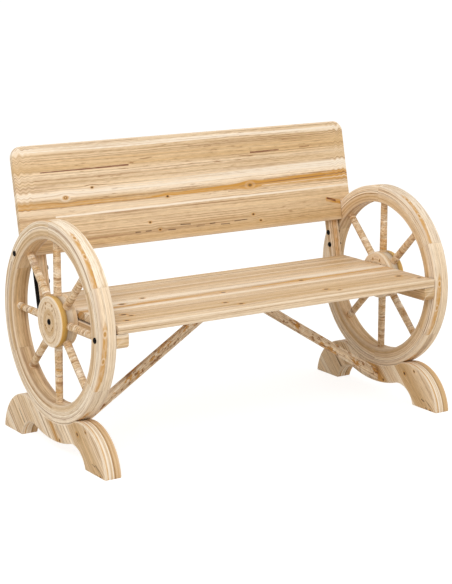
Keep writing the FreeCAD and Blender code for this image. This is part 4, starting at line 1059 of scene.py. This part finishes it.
def seenRays():
    # 1 for rays that the camera follows, also by mirror or glass, and 0 for those that carry light
    path = outputsOf("ShaderNodeLightPath")
    return calc("MAXIMUM", path["Is Camera Ray"], calc("MAXIMUM", path["Is Glossy Ray"], path["Is Transmission Ray"]))


# the floor is white to the camera with a faint shadow, and a plain pale bounce for the rest of the light
paleFloor = openMaterial("paleFloor")
speckle = cloud(outputsOf("ShaderNodeTexCoord")["Object"], scale=3.0)
pale = ramp(speckle, {0.3: (0.80, 0.77, 0.72, 1), 0.6: (0.82, 0.79, 0.74, 1), 0.8: (0.83, 0.80, 0.75, 1)})
bounce, shadow = (outputOf("ShaderNodeBsdfDiffuse", {0: colour}) for colour in (pale, studio["floorShade"]))
glow = outputOf("ShaderNodeEmission", {0: fullWhite, 1: studio["floorShow"]})
shown = outputOf("ShaderNodeAddShader", {0: shadow, 1: glow})
addNode("ShaderNodeOutputMaterial", {0: outputOf("ShaderNodeMixShader", {0: seenRays(), 1: bounce, 2: shown})})
reach = studio["floor"]
floorMesh = bpy.data.meshes.new("floor")
floorMesh.from_pydata([(-reach, -reach, 0), (reach, -reach, 0), (reach, reach, 0), (-reach, reach, 0)], [],
                      [(0, 1, 2, 3)])
floorMesh.materials.append(paleFloor)
floor = bpy.data.objects.new("floor", floorMesh)
scene.collection.objects.link(floor)

world = bpy.data.worlds.new("studioWorld")
scene.world = world
world.use_nodes = True
openTree(world.node_tree)
seen = seenRays()
sky = outputOf("ShaderNodeBackground", {0: mix(seen, studio["skyTint"], fullWhite),
                                        1: seen * (1.0 - studio["sky"]) + studio["sky"]})
addNode("ShaderNodeOutputWorld", {0: sky})

for name, (place, size, power) in lamps.items():
    lamp = bpy.data.lights.new(name, "AREA")
    lamp.shape = "DISK"
    lamp.size = size
    lamp.energy = power
    holder = bpy.data.objects.new(name, lamp)
    toward = np.subtract(studio["aim"], place)
    holder.location = place
    holder.rotation_euler = (math.atan2(math.hypot(toward[0], toward[1]), -toward[2]), 0.0,
                             math.atan2(-toward[0], toward[1]))
    scene.collection.objects.link(holder)

camera = bpy.data.cameras.new("benchCamera")
camera.lens = view["lens"]
camera.sensor_width = view["sensor"]
camera.shift_x, camera.shift_y = view["shift"]
viewer = bpy.data.objects.new("benchCamera", camera)
viewer.location = view["place"]
viewer.rotation_euler = (math.pi / 2 - view["dip"], 0.0, view["turn"])
scene.collection.objects.link(viewer)
scene.camera = viewer
print("studio done")
